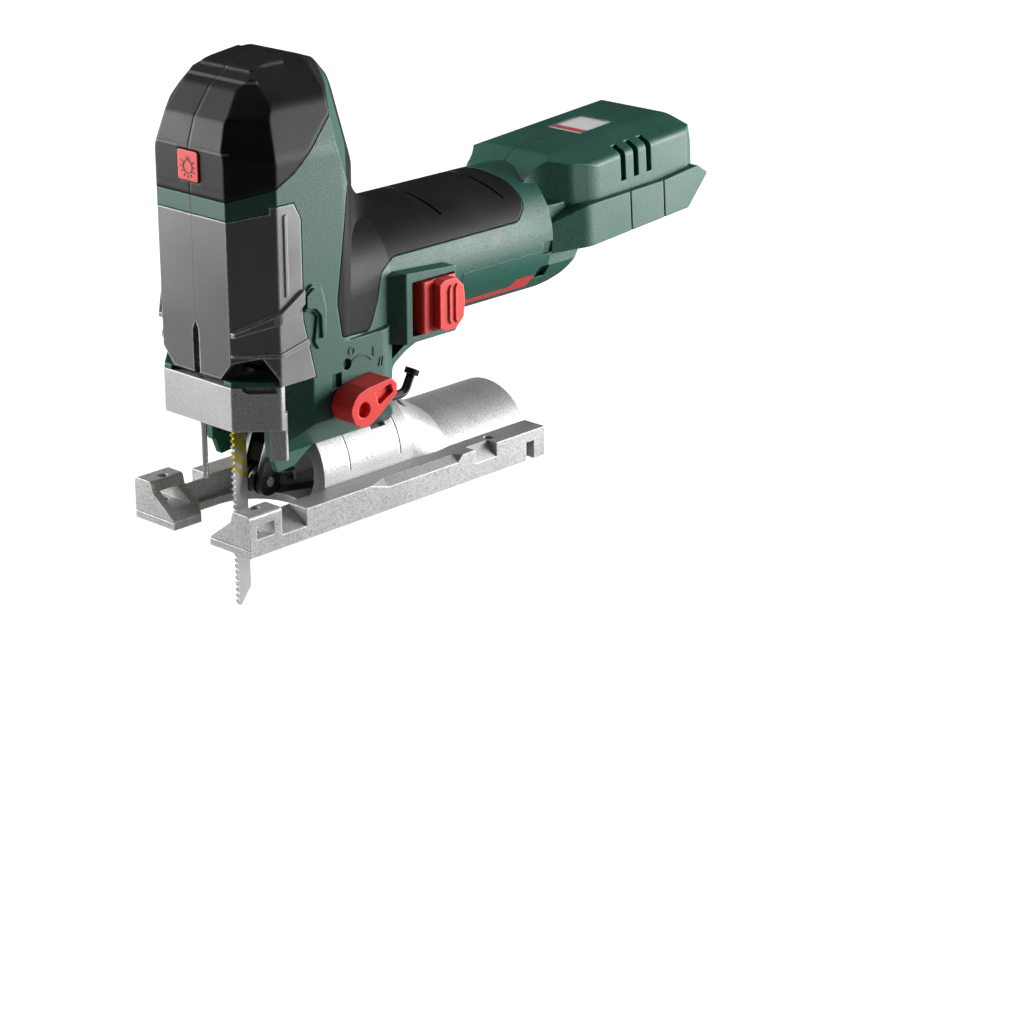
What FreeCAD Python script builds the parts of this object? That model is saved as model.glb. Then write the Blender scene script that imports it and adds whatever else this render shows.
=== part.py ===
"""Cordless barrel-grip jigsaw: one STEP file per sub-part, millimetres, +Z up.

Stations along X are measured from the front edge of the base, with the blade at the front and
the battery shoe at the rear; the export moves the origin to the middle of the sole.
"""
import FreeCAD, Part
import math
import os
from FreeCAD import Matrix, Vector

# ---------------------------------------------------------------- driving dimensions
base_length = 166.0
base_width = 68.0
rail_height = 12.6
sole_thickness = 3.2
toe_length = 16.5
toe_height = 16.9
toe_gap = 21.0            # clear width between the two front toes at the sole
opening_width = 41.0      # blade opening behind the toes
opening_rear = 52.0       # rear of the blade opening, from the front edge
rail_inner_width = 47.0   # clear width between the rails ahead of the saddle
fence_slot_width = 9.0
fence_slot_height = 5.6
fence_slot_start = 3.6
base_thread_radius = 2.1
thread_front = 8.6
thread_rear = 139.0
thread_spacing_y = 54.0

tilt_height = 16.5        # height of the bevel axis above the sole
saddle_radius = 22.5      # outside of the swivel saddle
saddle_wall = 4.0
saddle_start = 50.0
saddle_end = 99.0
spout_start = 120.0
spout_radius = 25.0
spout_drop = 1.0          # height of the spout's centre above the sole
spout_wall = 2.6
tilt_limit = 45.0         # degrees each way
swivel_gap = 0.3
clamp_station = 83.5
clamp_screw_radius = 3.0
clamp_slot_width = 8.0

head_front = 6.0
head_half_width = 33.0
head_front_half = 19.7
head_rear = 86.4
head_top = 186.0
skin = 2.6                # wall of the plastic shells
grip_skin = 1.4           # thickness of the soft overmould
seam_gap = 0.35           # gap round covers and overmoulds

body_rear = 90.0
barrel_radius = 28.0
barrel_height = 91.0      # motor axis above the sole
barrel_end = 177.0

shoe_station = 184.5
shoe_height = 104.0
shoe_slope = 4.5          # degrees, rising to the rear
shoe_half_width = 30.5
lip_half_width = 34.0
bay_half_width = 27.5
bay_rail_half_width = 31.0

plunger_station = 25.2
plunger_radius = 4.5
stroke = 26.0
running_gap = 0.05
blade_width = 7.4
blade_thickness = 1.25
blade_length = 100.0
blade_tip = -35.4
tooth_pitch = 2.5
toothed_length = 74.0

gear_module = 1.0
gear_teeth = 46
pinion_teeth = 10
gear_front = 44.0
gear_width = 7.0
wall_front = 53.0         # front face of the gearbox wall
wall_thickness = 7.0
shaft_radius = 3.0
stator_radius = 22.0
rotor_radius = 11.0
bearing_radius = 9.5

roller_radius = 6.0
roller_width = 7.0
roller_height = 15.5
roller_gap = 0.2          # between the roller and the back of the blade
fork_pivot_station = 45.0
fork_pivot_height = 50.0

knob_station = 52.0
knob_height = 50.5
knob_angle = 20.0         # degrees the knob's nose points above the rear

# ---------------------------------------------------------------- derived places
gear_radius = gear_module * gear_teeth / 2
pinion_radius = gear_module * pinion_teeth / 2
gear_height = barrel_height + gear_radius + pinion_radius
crank_radius = stroke / 2
blade_front = plunger_station - blade_width / 2
blade_back = plunger_station + blade_width / 2
blade_top = blade_tip + blade_length
roller_station = blade_back + roller_gap + roller_radius
wall_rear = wall_front + wall_thickness
half_base = base_width / 2
BIG = 400.0


# ---------------------------------------------------------------- drawing helpers
def box(x0, x1, y0, y1, z0, z1):
    return Part.makeBox(x1 - x0, y1 - y0, z1 - z0, Vector(x0, y0, z0))


def rod(x, y, z, axis, length, radius):
    direction = {"x": Vector(1, 0, 0), "y": Vector(0, 1, 0), "z": Vector(0, 0, 1)}[axis]
    return Part.makeCylinder(radius, length, Vector(x, y, z), direction)


def tube(x, y, z, axis, length, outer, inner):
    return rod(x, y, z, axis, length, outer).cut(rod(x, y, z, axis, length, inner))


def joined(*shapes):
    result = shapes[0]
    for shape in shapes[1:]:
        result = result.fuse(shape)
    return result.removeSplitter()


def mirrored(shape):
    return shape.mirror(Vector(0, 0, 0), Vector(0, 1, 0))


def place(plane, a, b, level):
    if plane == "xz":
        return Vector(a, level, b)
    if plane == "xy":
        return Vector(a, b, level)
    return Vector(level, a, b)


def outline(plane, points, level):
    """Closed wire through (a, b) or (a, b, corner radius) points."""
    count = len(points)
    starts, ends, arcs = [], [], []
    for i, point in enumerate(points):
        here = Vector(point[0], point[1], 0)
        radius = point[2] if len(point) > 2 else 0
        before = (Vector(*points[i - 1][:2], 0) - here).normalize()
        after = (Vector(*points[(i + 1) % count][:2], 0) - here).normalize()
        if radius == 0:
            starts.append(here)
            ends.append(here)
            arcs.append(None)
            continue
        half = before.getAngle(after) / 2
        reach = radius / math.tan(half)
        middle = (before + after).normalize() * (radius / math.sin(half) - radius)
        starts.append(here + before * reach)
        ends.append(here + after * reach)
        arcs.append(here + middle)
    edges = []
    for i in range(count):
        if arcs[i] is not None:
            corners = [place(plane, p.x, p.y, level) for p in (starts[i], arcs[i], ends[i])]
            edges.append(Part.Arc(*corners).toShape())
        a, b = ends[i], starts[(i + 1) % count]
        if (b - a).Length > 1e-6:
            line = Part.LineSegment(place(plane, a.x, a.y, level), place(plane, b.x, b.y, level))
            edges.append(line.toShape())
    return Part.Wire(edges)


def slab(plane, points, low, high, inset=0.0):
    """A prism of an outline, from low to high across its plane, drawn in by inset."""
    face = Part.Face(outline(plane, points, low))
    if inset:
        face = face.makeOffset2D(-inset, 2)
    normal = {"xz": Vector(0, 1, 0), "xy": Vector(0, 0, 1), "yz": Vector(1, 0, 0)}[plane]
    return face.extrude(normal * (high - low))


def both_sides(points):
    """Mirrors a half outline, drawn from front to rear on the -Y side, about the X axis."""
    return list(points) + [(p[0], -p[1]) + tuple(p[2:]) for p in reversed(points)]


def both_flanks(points):
    """Mirrors a half outline of (y, z) points, drawn on the -Y side, about the Z axis."""
    return list(points) + [(-p[0],) + tuple(p[1:]) for p in reversed(points)]


def in_shoe(shape):
    """Moves a shape drawn at the shoe's own level origin to its sloped place."""
    turned = shape.copy()
    turned.rotate(Vector(0, 0, 0), Vector(0, 1, 0), -shoe_slope)
    turned.translate(Vector(shoe_station, 0, shoe_height))
    return turned


def halves(shape):
    """The -Y and the +Y half of a shape."""
    left = shape.common(box(-BIG, BIG, -BIG, 0, -BIG, BIG))
    right = shape.common(box(-BIG, BIG, 0, BIG, -BIG, BIG))
    return left, right


parts = {}


def keep(name, *shapes):
    parts[name] = shapes


# ---------------------------------------------------------------- base casting
def saddle_profile(x, radius, centre, floor):
    """Arch on two short straight legs, as a closed wire across X."""
    start = centre if centre > floor + 2 else floor + 2
    half = math.sqrt(radius ** 2 - (start - centre) ** 2)
    foot_left = Vector(x, -half, floor)
    foot_right = Vector(x, half, floor)
    left = Vector(x, -half, start)
    right = Vector(x, half, start)
    crown = Vector(x, 0, centre + radius)
    return Part.Wire([
        Part.LineSegment(foot_left, left).toShape(),
        Part.Arc(left, crown, right).toShape(),
        Part.LineSegment(right, foot_right).toShape(),
        Part.LineSegment(foot_right, foot_left).toShape(),
    ])


def arched(wall, start, end):
    """The saddle and spout as one body, drawn in by wall."""
    floor = sole_thickness
    front = saddle_profile(start, saddle_radius - wall, tilt_height, floor)
    middle = saddle_profile(saddle_end, saddle_radius - wall, tilt_height, floor)
    rear_wall = wall * spout_wall / saddle_wall
    spout = saddle_profile(spout_start, spout_radius - rear_wall, spout_drop, floor)
    tail = saddle_profile(end, spout_radius - rear_wall, spout_drop, floor)
    runs = [(front, middle), (middle, spout), (spout, tail)]
    return joined(*[Part.makeLoft([a, b], True, True) for a, b in runs])


def swivel_saddle():
    shell = arched(0, saddle_start, base_length).cut(arched(saddle_wall, saddle_start - 1, base_length + 1))
    lip = rod(saddle_start, 0, tilt_height, "x", 3.0, saddle_radius)
    lip = lip.cut(rod(saddle_start - 1, 0, tilt_height, "x", 5.0, saddle_radius - 6))
    lip = lip.common(box(0, BIG, -BIG, BIG, sole_thickness, BIG))
    slot = tube(clamp_station - clamp_slot_width / 2, 0, tilt_height, "x", clamp_slot_width,
                saddle_radius + 1, saddle_radius - saddle_wall - 1)
    span = math.radians(tilt_limit + 11)
    far = 2 * saddle_radius
    wedge = slab("yz", [(0, tilt_height), (-far * math.sin(span), tilt_height + far * math.cos(span)),
                        (0, tilt_height + far), (far * math.sin(span), tilt_height + far * math.cos(span))],
                 0, base_length)
    pocket = box(100, 104.5, -13.5, -8, saddle_radius, BIG).common(box(0, BIG, -BIG, BIG, 29, BIG))
    shape = joined(shell, lip).cut(slot.common(wedge)).cut(pocket).cut(mirrored(pocket))
    for x in saddle_seams:
        ring = tube(x, 0, tilt_height, "x", 0.5, saddle_radius + 5, saddle_radius - 0.5)
        shape = shape.cut(ring.common(box(0, BIG, -BIG, BIG, tilt_height, BIG)))
    return shape


def edge_bevel():
    """Wedge that bevels the rails' top outer edge between two short ramps."""
    deep = [(-30.2, rail_height + 0.05), (-34.05, 9.7), (-36, 9.7), (-36, rail_height + 0.05)]
    fine = [(-33.9, rail_height + 0.05), (-34.05, rail_height - 0.1), (-36, rail_height - 0.1),
            (-36, rail_height + 0.05)]
    wires = [outline("yz", points, x) for x, points in ((64.5, fine), (74.3, deep), (113.8, deep), (116.5, fine))]
    return Part.makeLoft(wires, True, True)


def base_plate():
    width = half_base
    block = box(0, base_length, -width, width, 0, rail_height)
    toe_inner = toe_gap / 2
    toe = [(-width, 0), (-width, toe_height, 1.5), (-24, toe_height, 1.5), (-23, rail_height),
           (-toe_inner - 1.5, 4.6), (-toe_inner, 3.4), (-toe_inner, 0)]
    toe_block = slab("yz", toe, 0, toe_length)
    inner = rail_inner_width / 2
    block = block.cut(box(-1, saddle_start, -inner, inner, sole_thickness, BIG))
    block = block.cut(box(-1, toe_length, -inner, inner, -1, BIG))
    block = joined(block, toe_block, mirrored(toe_block))
    radius = opening_width / 2
    block = block.cut(box(toe_length, opening_rear - radius, -radius, radius, -1, BIG))
    block = block.cut(rod(opening_rear - radius, 0, -1, "z", BIG, radius))
    block = block.cut(arched(-0.1, saddle_start, base_length + 1))
    # rectangular slots for the rip fence, through both toes and at the rear
    low = rail_height - fence_slot_height
    block = block.cut(box(fence_slot_start, fence_slot_start + fence_slot_width, -BIG, BIG, low, rail_height))
    rear_slot = box(154.6, 159.3, -width - 1, -26.0, -1, 8.0)
    # sloped flats that clear the guard legs when the saw is tilted
    flat = slab("yz", [(-23.5, 12.0), (-35, 4.8), (-35, 30), (-23.5, 30)], toe_length, 29.6)
    pocket = slab("yz", [(-28.2, 12.9), (-35, 5.4), (-35, 12.9)], 123.8, 136.6)
    edge = edge_bevel()
    for cut in (rear_slot, flat, pocket, edge):
        block = block.cut(cut).cut(mirrored(cut))
    for x in (thread_front, thread_rear):
        for side in (-1, 1):
            block = block.cut(rod(x, side * thread_spacing_y / 2, -1, "z", BIG, base_thread_radius))
    groove = box(-1, 0.5, -BIG, BIG, 2.9, 3.3)
    for x in saddle_screw_stations:
        block = block.cut(rod(x, saddle_screw_y, -1, "z", 2.2, 3.4)).cut(rod(x, saddle_screw_y, -1, "z", 5, 1.8))
        block = block.cut(rod(x, -saddle_screw_y, -1, "z", 2.2, 3.4)).cut(rod(x, -saddle_screw_y, -1, "z", 5, 1.8))
    return block.cut(groove)


saddle_seams = (64.0, 92.0)
saddle_screw_stations = (62.0, 110.0, 150.0)
saddle_screw_y = 13.5


def saddle_screws():
    """Countersunk screws from below, with the saddle's own threaded bosses above the sole."""
    screws, bosses = [], []
    for x in saddle_screw_stations:
        for y in (-saddle_screw_y, saddle_screw_y):
            screws.append(joined(rod(x, y, 0.3, "z", 0.8, 3.2), rod(x, y, 0.3, "z", 7.5, 1.7)))
            bosses.append(rod(x, y, sole_thickness, "z", 6.0, 4.0).cut(rod(x, y, 0, "z", BIG, 1.7)))
    return screws, bosses


# ---------------------------------------------------------------- housing volumes
head_plan = both_sides([
    (head_front, -head_front_half, 1.2),
    (19.4, -head_half_width, 1.6),
    (head_rear - 30.0, -head_half_width, 9.0),
    (head_rear, -3.0, 7.0),
])
head_bottom = 64.2
head_side = [
    (head_front, head_bottom), (head_front, 155.0, 5.0), (9.4, 165.0, 6.0), (17.6, 175.8, 6.0),
    (26.5, 181.6, 8.0), (46.0, head_top, 16.0), (66.5, 179.5, 12.0), (78.0, 166.0, 10.0),
    (84.6, 143.0, 12.0), (88.5, 128.0), (88.5, head_bottom),
]
head_front_view = both_flanks([
    (-head_half_width, 40), (-head_half_width, 152, 14.0), (-26.8, 170.5, 10.0), (-10.0, head_top, 5.0),
])
# outline seen along the flanks' 45 degree chamfers
head_lean = [
    (-9.5, 40), (-9.5, 152.5, 14.0), (-4.7, 166.6, 10.0), (0.0, 173.2, 6.0), (5.4, 180.2, 6.0), (11.4, 187.0),
    (41.0, 187.0), (48.8, 180.6, 8.0), (54.6, 172.0, 10.0), (64.4, 130.0), (64.4, 40),
]


def head_volume(inset=0.0):
    shape = slab("xy", head_plan, 40, 200, inset)
    shape = shape.common(slab("xz", head_side, -50, 50, inset))
    shape = shape.common(slab("yz", head_front_view, -20, 120, inset))
    for turn in (45, -45):
        lean = slab("xz", head_lean, -90, 90, inset)
        lean.rotate(Vector(0, 0, 0), Vector(0, 0, 1), turn)
        shape = shape.common(lean)
    return shape


neck_blend = 11.0         # radius of the hollow between the neck and the barrel


def neck_volume(inset=0.0):
    """The hollow that carries the neck's rear into the barrel."""
    prism = slab("xy", head_plan, 60, 160, inset + 0.3)
    barrel = rod(30, 0, barrel_height, "x", 100, barrel_radius - inset)
    shape = prism.fuse(barrel).removeSplitter()
    edges = []
    for edge in shape.Edges:
        bounds = edge.BoundBox
        middle = edge.valueAt((edge.FirstParameter + edge.LastParameter) / 2)
        reach = math.hypot(middle.y, middle.z - barrel_height)
        if abs(reach - barrel_radius + inset) < 0.05 and bounds.XMin > 45 and bounds.XMax < 100:
            edges.append(edge)
    shape = shape.makeFillet(neck_blend + inset, edges)
    shape = shape.common(box(48, 110, -BIG, BIG, 99.0, 132.0))
    cheek = Part.makeCone(head_half_width - 0.2 - inset, barrel_radius - 0.1 - inset, 32.0,
                          Vector(52, 0, barrel_height), Vector(1, 0, 0))
    lower = [(52, -(head_half_width - 0.2 - inset)), (84, -(barrel_radius - 0.1 - inset))]
    low, high = 74.0 + inset, barrel_height
    return shape.fuse(cheek.common(box(40, 90, -BIG, BIG, low, 200))).fuse(slab("xy", both_sides(lower), low, high))


body_bevel_start = 18.0
body_bevel_height = 30.5


def body_volume(inset=0.0):
    """The lower body that straddles the saddle, with 45 degree bevels under both flanks."""
    rise = head_half_width - body_bevel_start
    plan = both_sides([(25.5, -22.5), (36.0, -head_half_width, 1.5), (76.0, -head_half_width, 9.0),
                       (body_rear, -21.0, 8.0)])
    across = both_flanks([(-body_bevel_start, body_bevel_height), (-head_half_width, body_bevel_height + rise),
                          (-head_half_width, 75)])
    volume = slab("xy", plan, 20, 75, inset).common(slab("yz", across, 0, 120, inset))
    nose = [(29.5, 23.4, 1.0), (38.5, 24.4), (54.0, 34.5), (54.0, 60), (25.5, 60), (25.5, 34)]
    nose_across = both_flanks([(-body_bevel_start, 20), (-body_bevel_start, 60)])
    volume = volume.fuse(slab("xz", nose, -30, 30, inset).common(slab("yz", nose_across, 0, 120, inset)))
    bearing = rod(saddle_start - swivel_gap - inset, 0, tilt_height, "x", 100, saddle_radius + swivel_gap + inset)
    return volume.cut(bearing)


def barrel_volume(inset=0.0):
    """The round motor grip, its rear collar, and the web that sweeps down to the body."""
    barrel = rod(62, 0, barrel_height, "x", barrel_end - 62 - inset, barrel_radius - inset)
    sweep = [(70, 50), (body_rear - 1.5, 50), (body_rear - 1.0, 54.5, 4), (96.5, 59.0, 7), (106, 62.6, 12),
             (116, 66), (116, 80), (70, 80)]
    web = slab("xz", sweep, -22, 22, inset)
    tail = [(150, 64), (181, 64, 3.5), (190.5, 72.5, 12.0), (197.0, 83.5, 2.0), (212, 86), (212, 104), (150, 104)]
    rear = slab("xz", tail, -25, 25, inset).common(rod(140, 0, barrel_height, "x", 90, barrel_radius - inset))
    return barrel.fuse(web).fuse(rear)


shoe_floor = -6.5         # underside of the shoe's ceiling, in the shoe's own level


def shoe_volume(inset=0.0):
    top = [(-16, -12), (-16, 4.0), (-11.5, 12.6, 3.0), (0.5, 19.4, 5.0), (76.5, 19.6, 3.5),
           (84.3, 4.5, 2.0), (83.4, -6), (83.0, -12)]
    plan = both_sides([(-30, -16.0), (-8, -17.0, 16), (5.5, -27.0, 9), (16, -shoe_half_width, 18),
                       (76.0, -shoe_half_width, 3.0), (84.3, -25.5, 2.5)])
    across = both_flanks([(-shoe_half_width, -12), (-shoe_half_width, 13.8, 3.5), (-17, 19.7, 16)])
    block = slab("xz", top, -40, 40, inset).common(slab("xy", plan, -40, 40, inset))
    block = block.common(slab("yz", across, -60, 100, inset))
    return block


def lip_volume():
    side = [(-16, -19.8), (71.6, -19.8, 1.0), (85.1, -7.3, 1.0), (79.0, -2.8, 1.0), (57, -3.6), (8, -1.8, 3),
            (-16, -9.5)]
    plan = both_sides([(-16, -24), (-9, -26.0, 8), (8, -lip_half_width, 10), (86, -lip_half_width, 1.5)])
    return slab("xz", side, -40, 40).common(slab("xy", plan, -40, 40))


def battery_bay():
    """The space that the battery's rails and body slide into from the rear."""
    start = 11.0
    slot = box(start, 100, -bay_rail_half_width, bay_rail_half_width, -15.2, shoe_floor - 1.0)
    mouth = box(start, 100, -bay_half_width, bay_half_width, -40, -10)
    return slot.fuse(mouth)


def housing_outside():
    shoe = in_shoe(shoe_volume().fuse(lip_volume()))
    return head_volume().fuse(body_volume()).fuse(barrel_volume()).fuse(neck_volume()).fuse(shoe)


def housing_inside():
    ceiling = box(-60, 100, -60, 60, shoe_floor + 1.6, 60)
    shoe = in_shoe(shoe_volume(skin).common(ceiling))
    neck = in_shoe(box(-20, 8, -15, 15, -12, 0))
    return head_volume(skin).fuse(body_volume(skin)).fuse(barrel_volume(skin)).fuse(shoe).fuse(neck)


# ---------------------------------------------------------------- regions of the covers
cap_edge = [(0, 134.6), (head_front, 135.8), (19.6, 140.8), (29.0, 145.5, 6.0), (57.0, 168.5), (76, 184),
            (76, 240), (0, 240)]
cover_rear = [(-5, 55), (39.6, 55), (37.2, 64.2), (31.4, 88.0), (31.4, 127.5), (27.8, 134.4), (27.8, 145), (-5, 145)]
cover_front = both_flanks([(-31.0, 66.4), (-31.0, 131.6), (-19.7, 128.6)])
cover_flank = [(-40, 64.3), (-30.9, 64.3), (-30.9, 134.2), (-40, 134.2)]
grip_edge = [
    (95, 190), (64, 190), (72.0, 166.0), (78.0, 144.0, 3.0), (57.6, 139.0, 3.0), (55.2, 132.0, 5.0), (49.0, 91.0, 10), (51.4, 76.6, 1.5), (68.9, 75.0, 4.0),
    (74.2, 86.0, 5.0), (77.0, 96.0, 4.0), (86.0, 100.7, 3.5), (158.0, 100.9, 6.0), (165.2, 107.0, 6.0),
    (163.6, 114.5, 4.0), (158.0, 121.0), (157.0, 190),
]


def cover_zone(grow=0.0):
    """Where the chip cover lies; it only grows wider towards the front, so it pulls off forwards."""
    across = slab("yz", cover_front, -10, 60, -grow)
    flank = slab("yz", cover_flank, -10, 60, -grow)
    return across.fuse(flank).fuse(mirrored(flank)).common(slab("xz", cover_rear, -60, 60, -grow))


cover_ridges = [
    ([(6.2, 84.0), (6.2, 85.6), (20.0, 93.8), (31.3, 100.4), (31.3, 95.0), (26.5, 91.6), (20.0, 89.6)], 1.6),
    ([(6.2, 76.2), (6.2, 77.0), (20.0, 77.6), (34.2, 80.8), (34.8, 78.2), (20.0, 75.8)], 0.8),
    ([(22.6, 99.0), (22.6, 130.5), (24.0, 131.0), (24.0, 99.8)], 0.6),
]
latch_ridges = [
    ([(31.9, 91.6), (31.9, 98.6), (35.6, 101.6), (40.4, 100.4), (42.8, 91.0), (42.2, 79.0), (38.4, 75.4),
      (36.4, 78.6), (38.0, 88.4), (36.0, 90.8)], 0.9),
    ([(31.9, 92.8), (31.9, 97.6), (35.8, 100.2), (39.6, 99.2), (41.6, 91.0), (41.2, 80.4), (39.6, 79.6),
      (39.2, 88.8), (36.6, 91.8)], 1.9),
]


def region(points, grow=0.0):
    return slab("xz", points, -60, 60, -grow)


def raised(points, rise):
    """A pad that stands out of both flanks of the head and follows its front corners."""
    return head_volume(-rise).cut(head_volume(0.4)).common(region(points)).common(box(5, 60, -60, 60, 60, 140))


def cap():
    """Soft cap over the top of the head, with a low pad on its crown."""
    pad = head_volume(-0.6).common(box(25.5, 42.0, -14.0, 14.0, 175, 200))
    outer = head_volume().fuse(pad)
    return outer.cut(head_volume(grip_skin)).common(region(cap_edge, -seam_gap))


def grip_zone(grow=0.0):
    """The overmould's outline; on the neck it runs up the rear face and ends under the cap."""
    zone = region(grip_edge, grow)
    return zone.cut(region(cap_edge, 1.5 - grow))


pad_grooves = [((111.0, 120.5), (118.6, 110.4)), ((147.2, 120.5), (154.8, 110.4))]


def grip():
    """Soft overmould down the neck and over the back of the barrel."""
    outer = head_volume().fuse(barrel_volume()).fuse(body_volume()).fuse(neck_volume())
    inner = head_volume(grip_skin).fuse(barrel_volume(grip_skin)).fuse(body_volume(grip_skin))
    inner = inner.fuse(neck_volume(grip_skin))
    shape = outer.cut(inner).common(grip_zone(-seam_gap))
    ring = rod(80, 0, barrel_height, "x", 90, barrel_radius + 2)
    ring = ring.cut(rod(79, 0, barrel_height, "x", 92, barrel_radius - 0.7))
    for high, low in pad_grooves:
        line = [high, (high[0] + 1.0, high[1]), (low[0] + 1.0, low[1]), low]
        shape = shape.cut(slab("xz", line, -60, 60).common(ring))
    return shape


screw_places = [(54.0, 157.2), (38.0, 163.0), (74.0, 54.0), (181.0, 77.0), (197.0, 113.0)]
screw_head_radius = 3.6
screw_radius = 1.8
boss_radius = 4.4


def switch_frame():
    plan = [(75.5, -23), (85.0, -34.4, 1.0), (112.9, -34.4, 1.5), (120.0, -22)]
    side = [(74, 66.6), (113.0, 66.6, 4.0), (117.5, 71.5, 3.0), (117.5, 89.0, 3.0), (113.0, 93.6, 4.0), (84, 95.4),
            (74, 92.0)]
    return slab("xy", plan, 60, 100).common(slab("xz", side, -40, -10))


switch_window = (88.2, 112.0, 69.0, 91.2)     # front, rear, bottom, top


def housing():
    shape = housing_outside().fuse(switch_frame())
    inside = housing_inside()
    shape = shape.cut(inside)
    for x, z in screw_places:
        boss = rod(x, -40, z, "y", 80, boss_radius).common(inside)
        shape = shape.fuse(boss)
    for points, rise in latch_ridges:
        shape = shape.fuse(raised(points, rise))
    shape = shape.cut(cover_zone(seam_gap))
    depth = grip_skin + 0.1
    shape = shape.cut(head_volume().cut(head_volume(depth)).common(region(cap_edge)))
    outer = head_volume().fuse(barrel_volume()).fuse(body_volume()).fuse(neck_volume())
    inner = head_volume(depth).fuse(barrel_volume(depth)).fuse(body_volume(depth)).fuse(neck_volume(depth))
    shape = shape.cut(outer.cut(inner).common(grip_zone()))
    shape = shape.cut(in_shoe(battery_bay()))
    # throat for the plunger, the clamp and the pendulum fork, open to the front and below
    shape = shape.cut(box(-10, 36.5, -15.4, 15.4, 18, 66))
    shape = shape.cut(box(30, 48.6, -8.2, 8.2, 18, 44))
    shape = shape.cut(box(11, 50, -14, 14, 60, 74))
    shape = shape.cut(rod(clamp_station, 0, 30, "z", 14, clamp_screw_radius + 0.6))
    # hole for the selector shaft and window for the slide switch
    shape = shape.cut(rod(knob_station, -50, knob_height, "y", 30, knob_shaft_radius + 0.3))
    front, rear, low, high = switch_window
    shape = shape.cut(box(front, rear, -40, -20, low, high))
    for x, z in screw_places:
        shape = shape.cut(rod(x, -18, z, "y", 60, screw_radius + 0.1))
        shape = shape.cut(rod(x, 14.5, z, "y", 60, screw_head_radius + 0.3))
    # three cooling slots on each flank of the shoe, grooves in the lips, window recess
    for i in range(3):
        slot = box(32.6 + 8.2 * i, 35.8 + 8.2 * i, -40, -25.0, 1.5, 30)
        shape = shape.cut(in_shoe(slot)).cut(mirrored(in_shoe(slot)))
    for u in (34.0, 55.5):
        groove = box(u, u + 0.9, -40, -lip_half_width + 0.7, -30, 0)
        shape = shape.cut(in_shoe(groove)).cut(mirrored(in_shoe(groove)))
    shape = shape.cut(in_shoe(box(*window_box, 18.2, 30)))
    # latch windows beside the collar and the body
    for x, z in ((171.4, 84.6), (171.4, 73.6)):
        ring = tube(x, 0, barrel_height, "x", 6.6, barrel_radius + 8, barrel_radius - 1.8)
        shape = shape.cut(ring.common(box(x, x + 6.6, -BIG, BIG, z, z + 5.2)))
    square = box(45.2, 50.6, -BIG, -head_half_width + 1.6, 57.4, 63.0)
    shape = shape.cut(square).cut(mirrored(square))
    shape = shape.cut(rod(53.6, -BIG, 63.0 + 2.5, "y", BIG - head_half_width + 1.6, 2.3))
    shape = shape.cut(light_pocket())
    shape = shape.cut(hex_key(0.15))
    return shape.removeSplitter()


window_box = (31.0, 52.0, -9.5, 9.5)


def light_pocket():
    return box(-5, head_front + 6, -5.9, 5.9, 141.2, 153.2)


knob_shaft_radius = 3.5


# ---------------------------------------------------------------- head front
def chip_cover():
    """Clear smoked cover that closes the front of the head."""
    hollow = head_volume(2.0).fuse(slab("xy", head_plan, head_bottom - 2, head_bottom + 4, 2.0))
    shape = head_volume().cut(hollow).common(cover_zone())
    for points, rise in cover_ridges:
        shape = shape.fuse(raised(points, rise).common(region(cover_rear)))
    slot = slab("yz", [(-1.7, 60), (1.7, 60), (1.7, 83.4), (0.0, 87.0), (-1.7, 83.4)], -5, head_front + 6)
    shape = shape.cut(slot)
    corner = slab("yz", [(-13.5, 60), (-13.5, 66.4), (-19.6, 73.4), (-28.0, 75.6), (-32.4, 67.0), (-32.4, 60)],
                  -5, 22)
    shape = shape.cut(corner).cut(mirrored(corner))
    return shape.removeSplitter()


guard_low = 46.5
guard_high = 64.0


def front_guard():
    """Cast bracket round the front of the blade, with a ribbed leg at each side."""
    plan = both_sides([(head_front - 0.4, -19.6, 1.0), (head_front + 13.6, -32.8, 1.5), (22.4, -31.6, 0.8),
                       (22.4, -20.0)])
    ring = slab("xy", plan, guard_low, guard_high)
    hollow = both_sides([(head_front + 2.6, -18.2), (19.0, -28.6), (30, -28.6)])
    ring = ring.cut(slab("xy", hollow, guard_low - 1, guard_high + 1))
    shelf = both_sides([(head_front + 2.0, -18.2), (18.5, -28.6), (22.4, -28.6), (25.0, -26.0), (25.0, -16.2)])
    shelf = slab("xy", shelf, guard_high - 3.4, guard_high)
    shelf = shelf.cut(box(12.6, 60, -15.6, 15.6, 0, 100))
    notch = slab("xz", [(10.2, 61.6), (18.6, 61.6), (18.6, 80), (8.6, 80), (8.6, 63.0)], -60, -20)
    ring = ring.cut(notch).cut(mirrored(notch))
    leg = slab("xy", [(17.6, -27.4), (22.6, -31.8, 1.0), (25.4, -29.2, 1.0), (25.4, -24.6), (20.4, -24.6)],
               33.6, guard_low + 6)
    for i in range(2):
        leg = leg.cut(rod(18.6 + 2.3 * i, -30.4 - 1.2 * i, 30, "z", guard_low - 30, 0.8))
    ring = joined(ring, shelf, leg)
    return ring.cut(rod(guard_rod_station, 0, 30, "z", 50, guard_rod_radius + 0.02))


guard_rod_station = 8.2
guard_rod_radius = 1.1


def guard_rod():
    return rod(guard_rod_station, 0, 22.6, "z", 58 - 22.6, guard_rod_radius)


def light_button():
    front = head_front - 0.7
    return slab("yz", [(-5.6, 141.5, 1), (5.6, 141.5, 1), (5.6, 152.9, 1), (-5.6, 152.9, 1)], front, front + 4.0)


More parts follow.
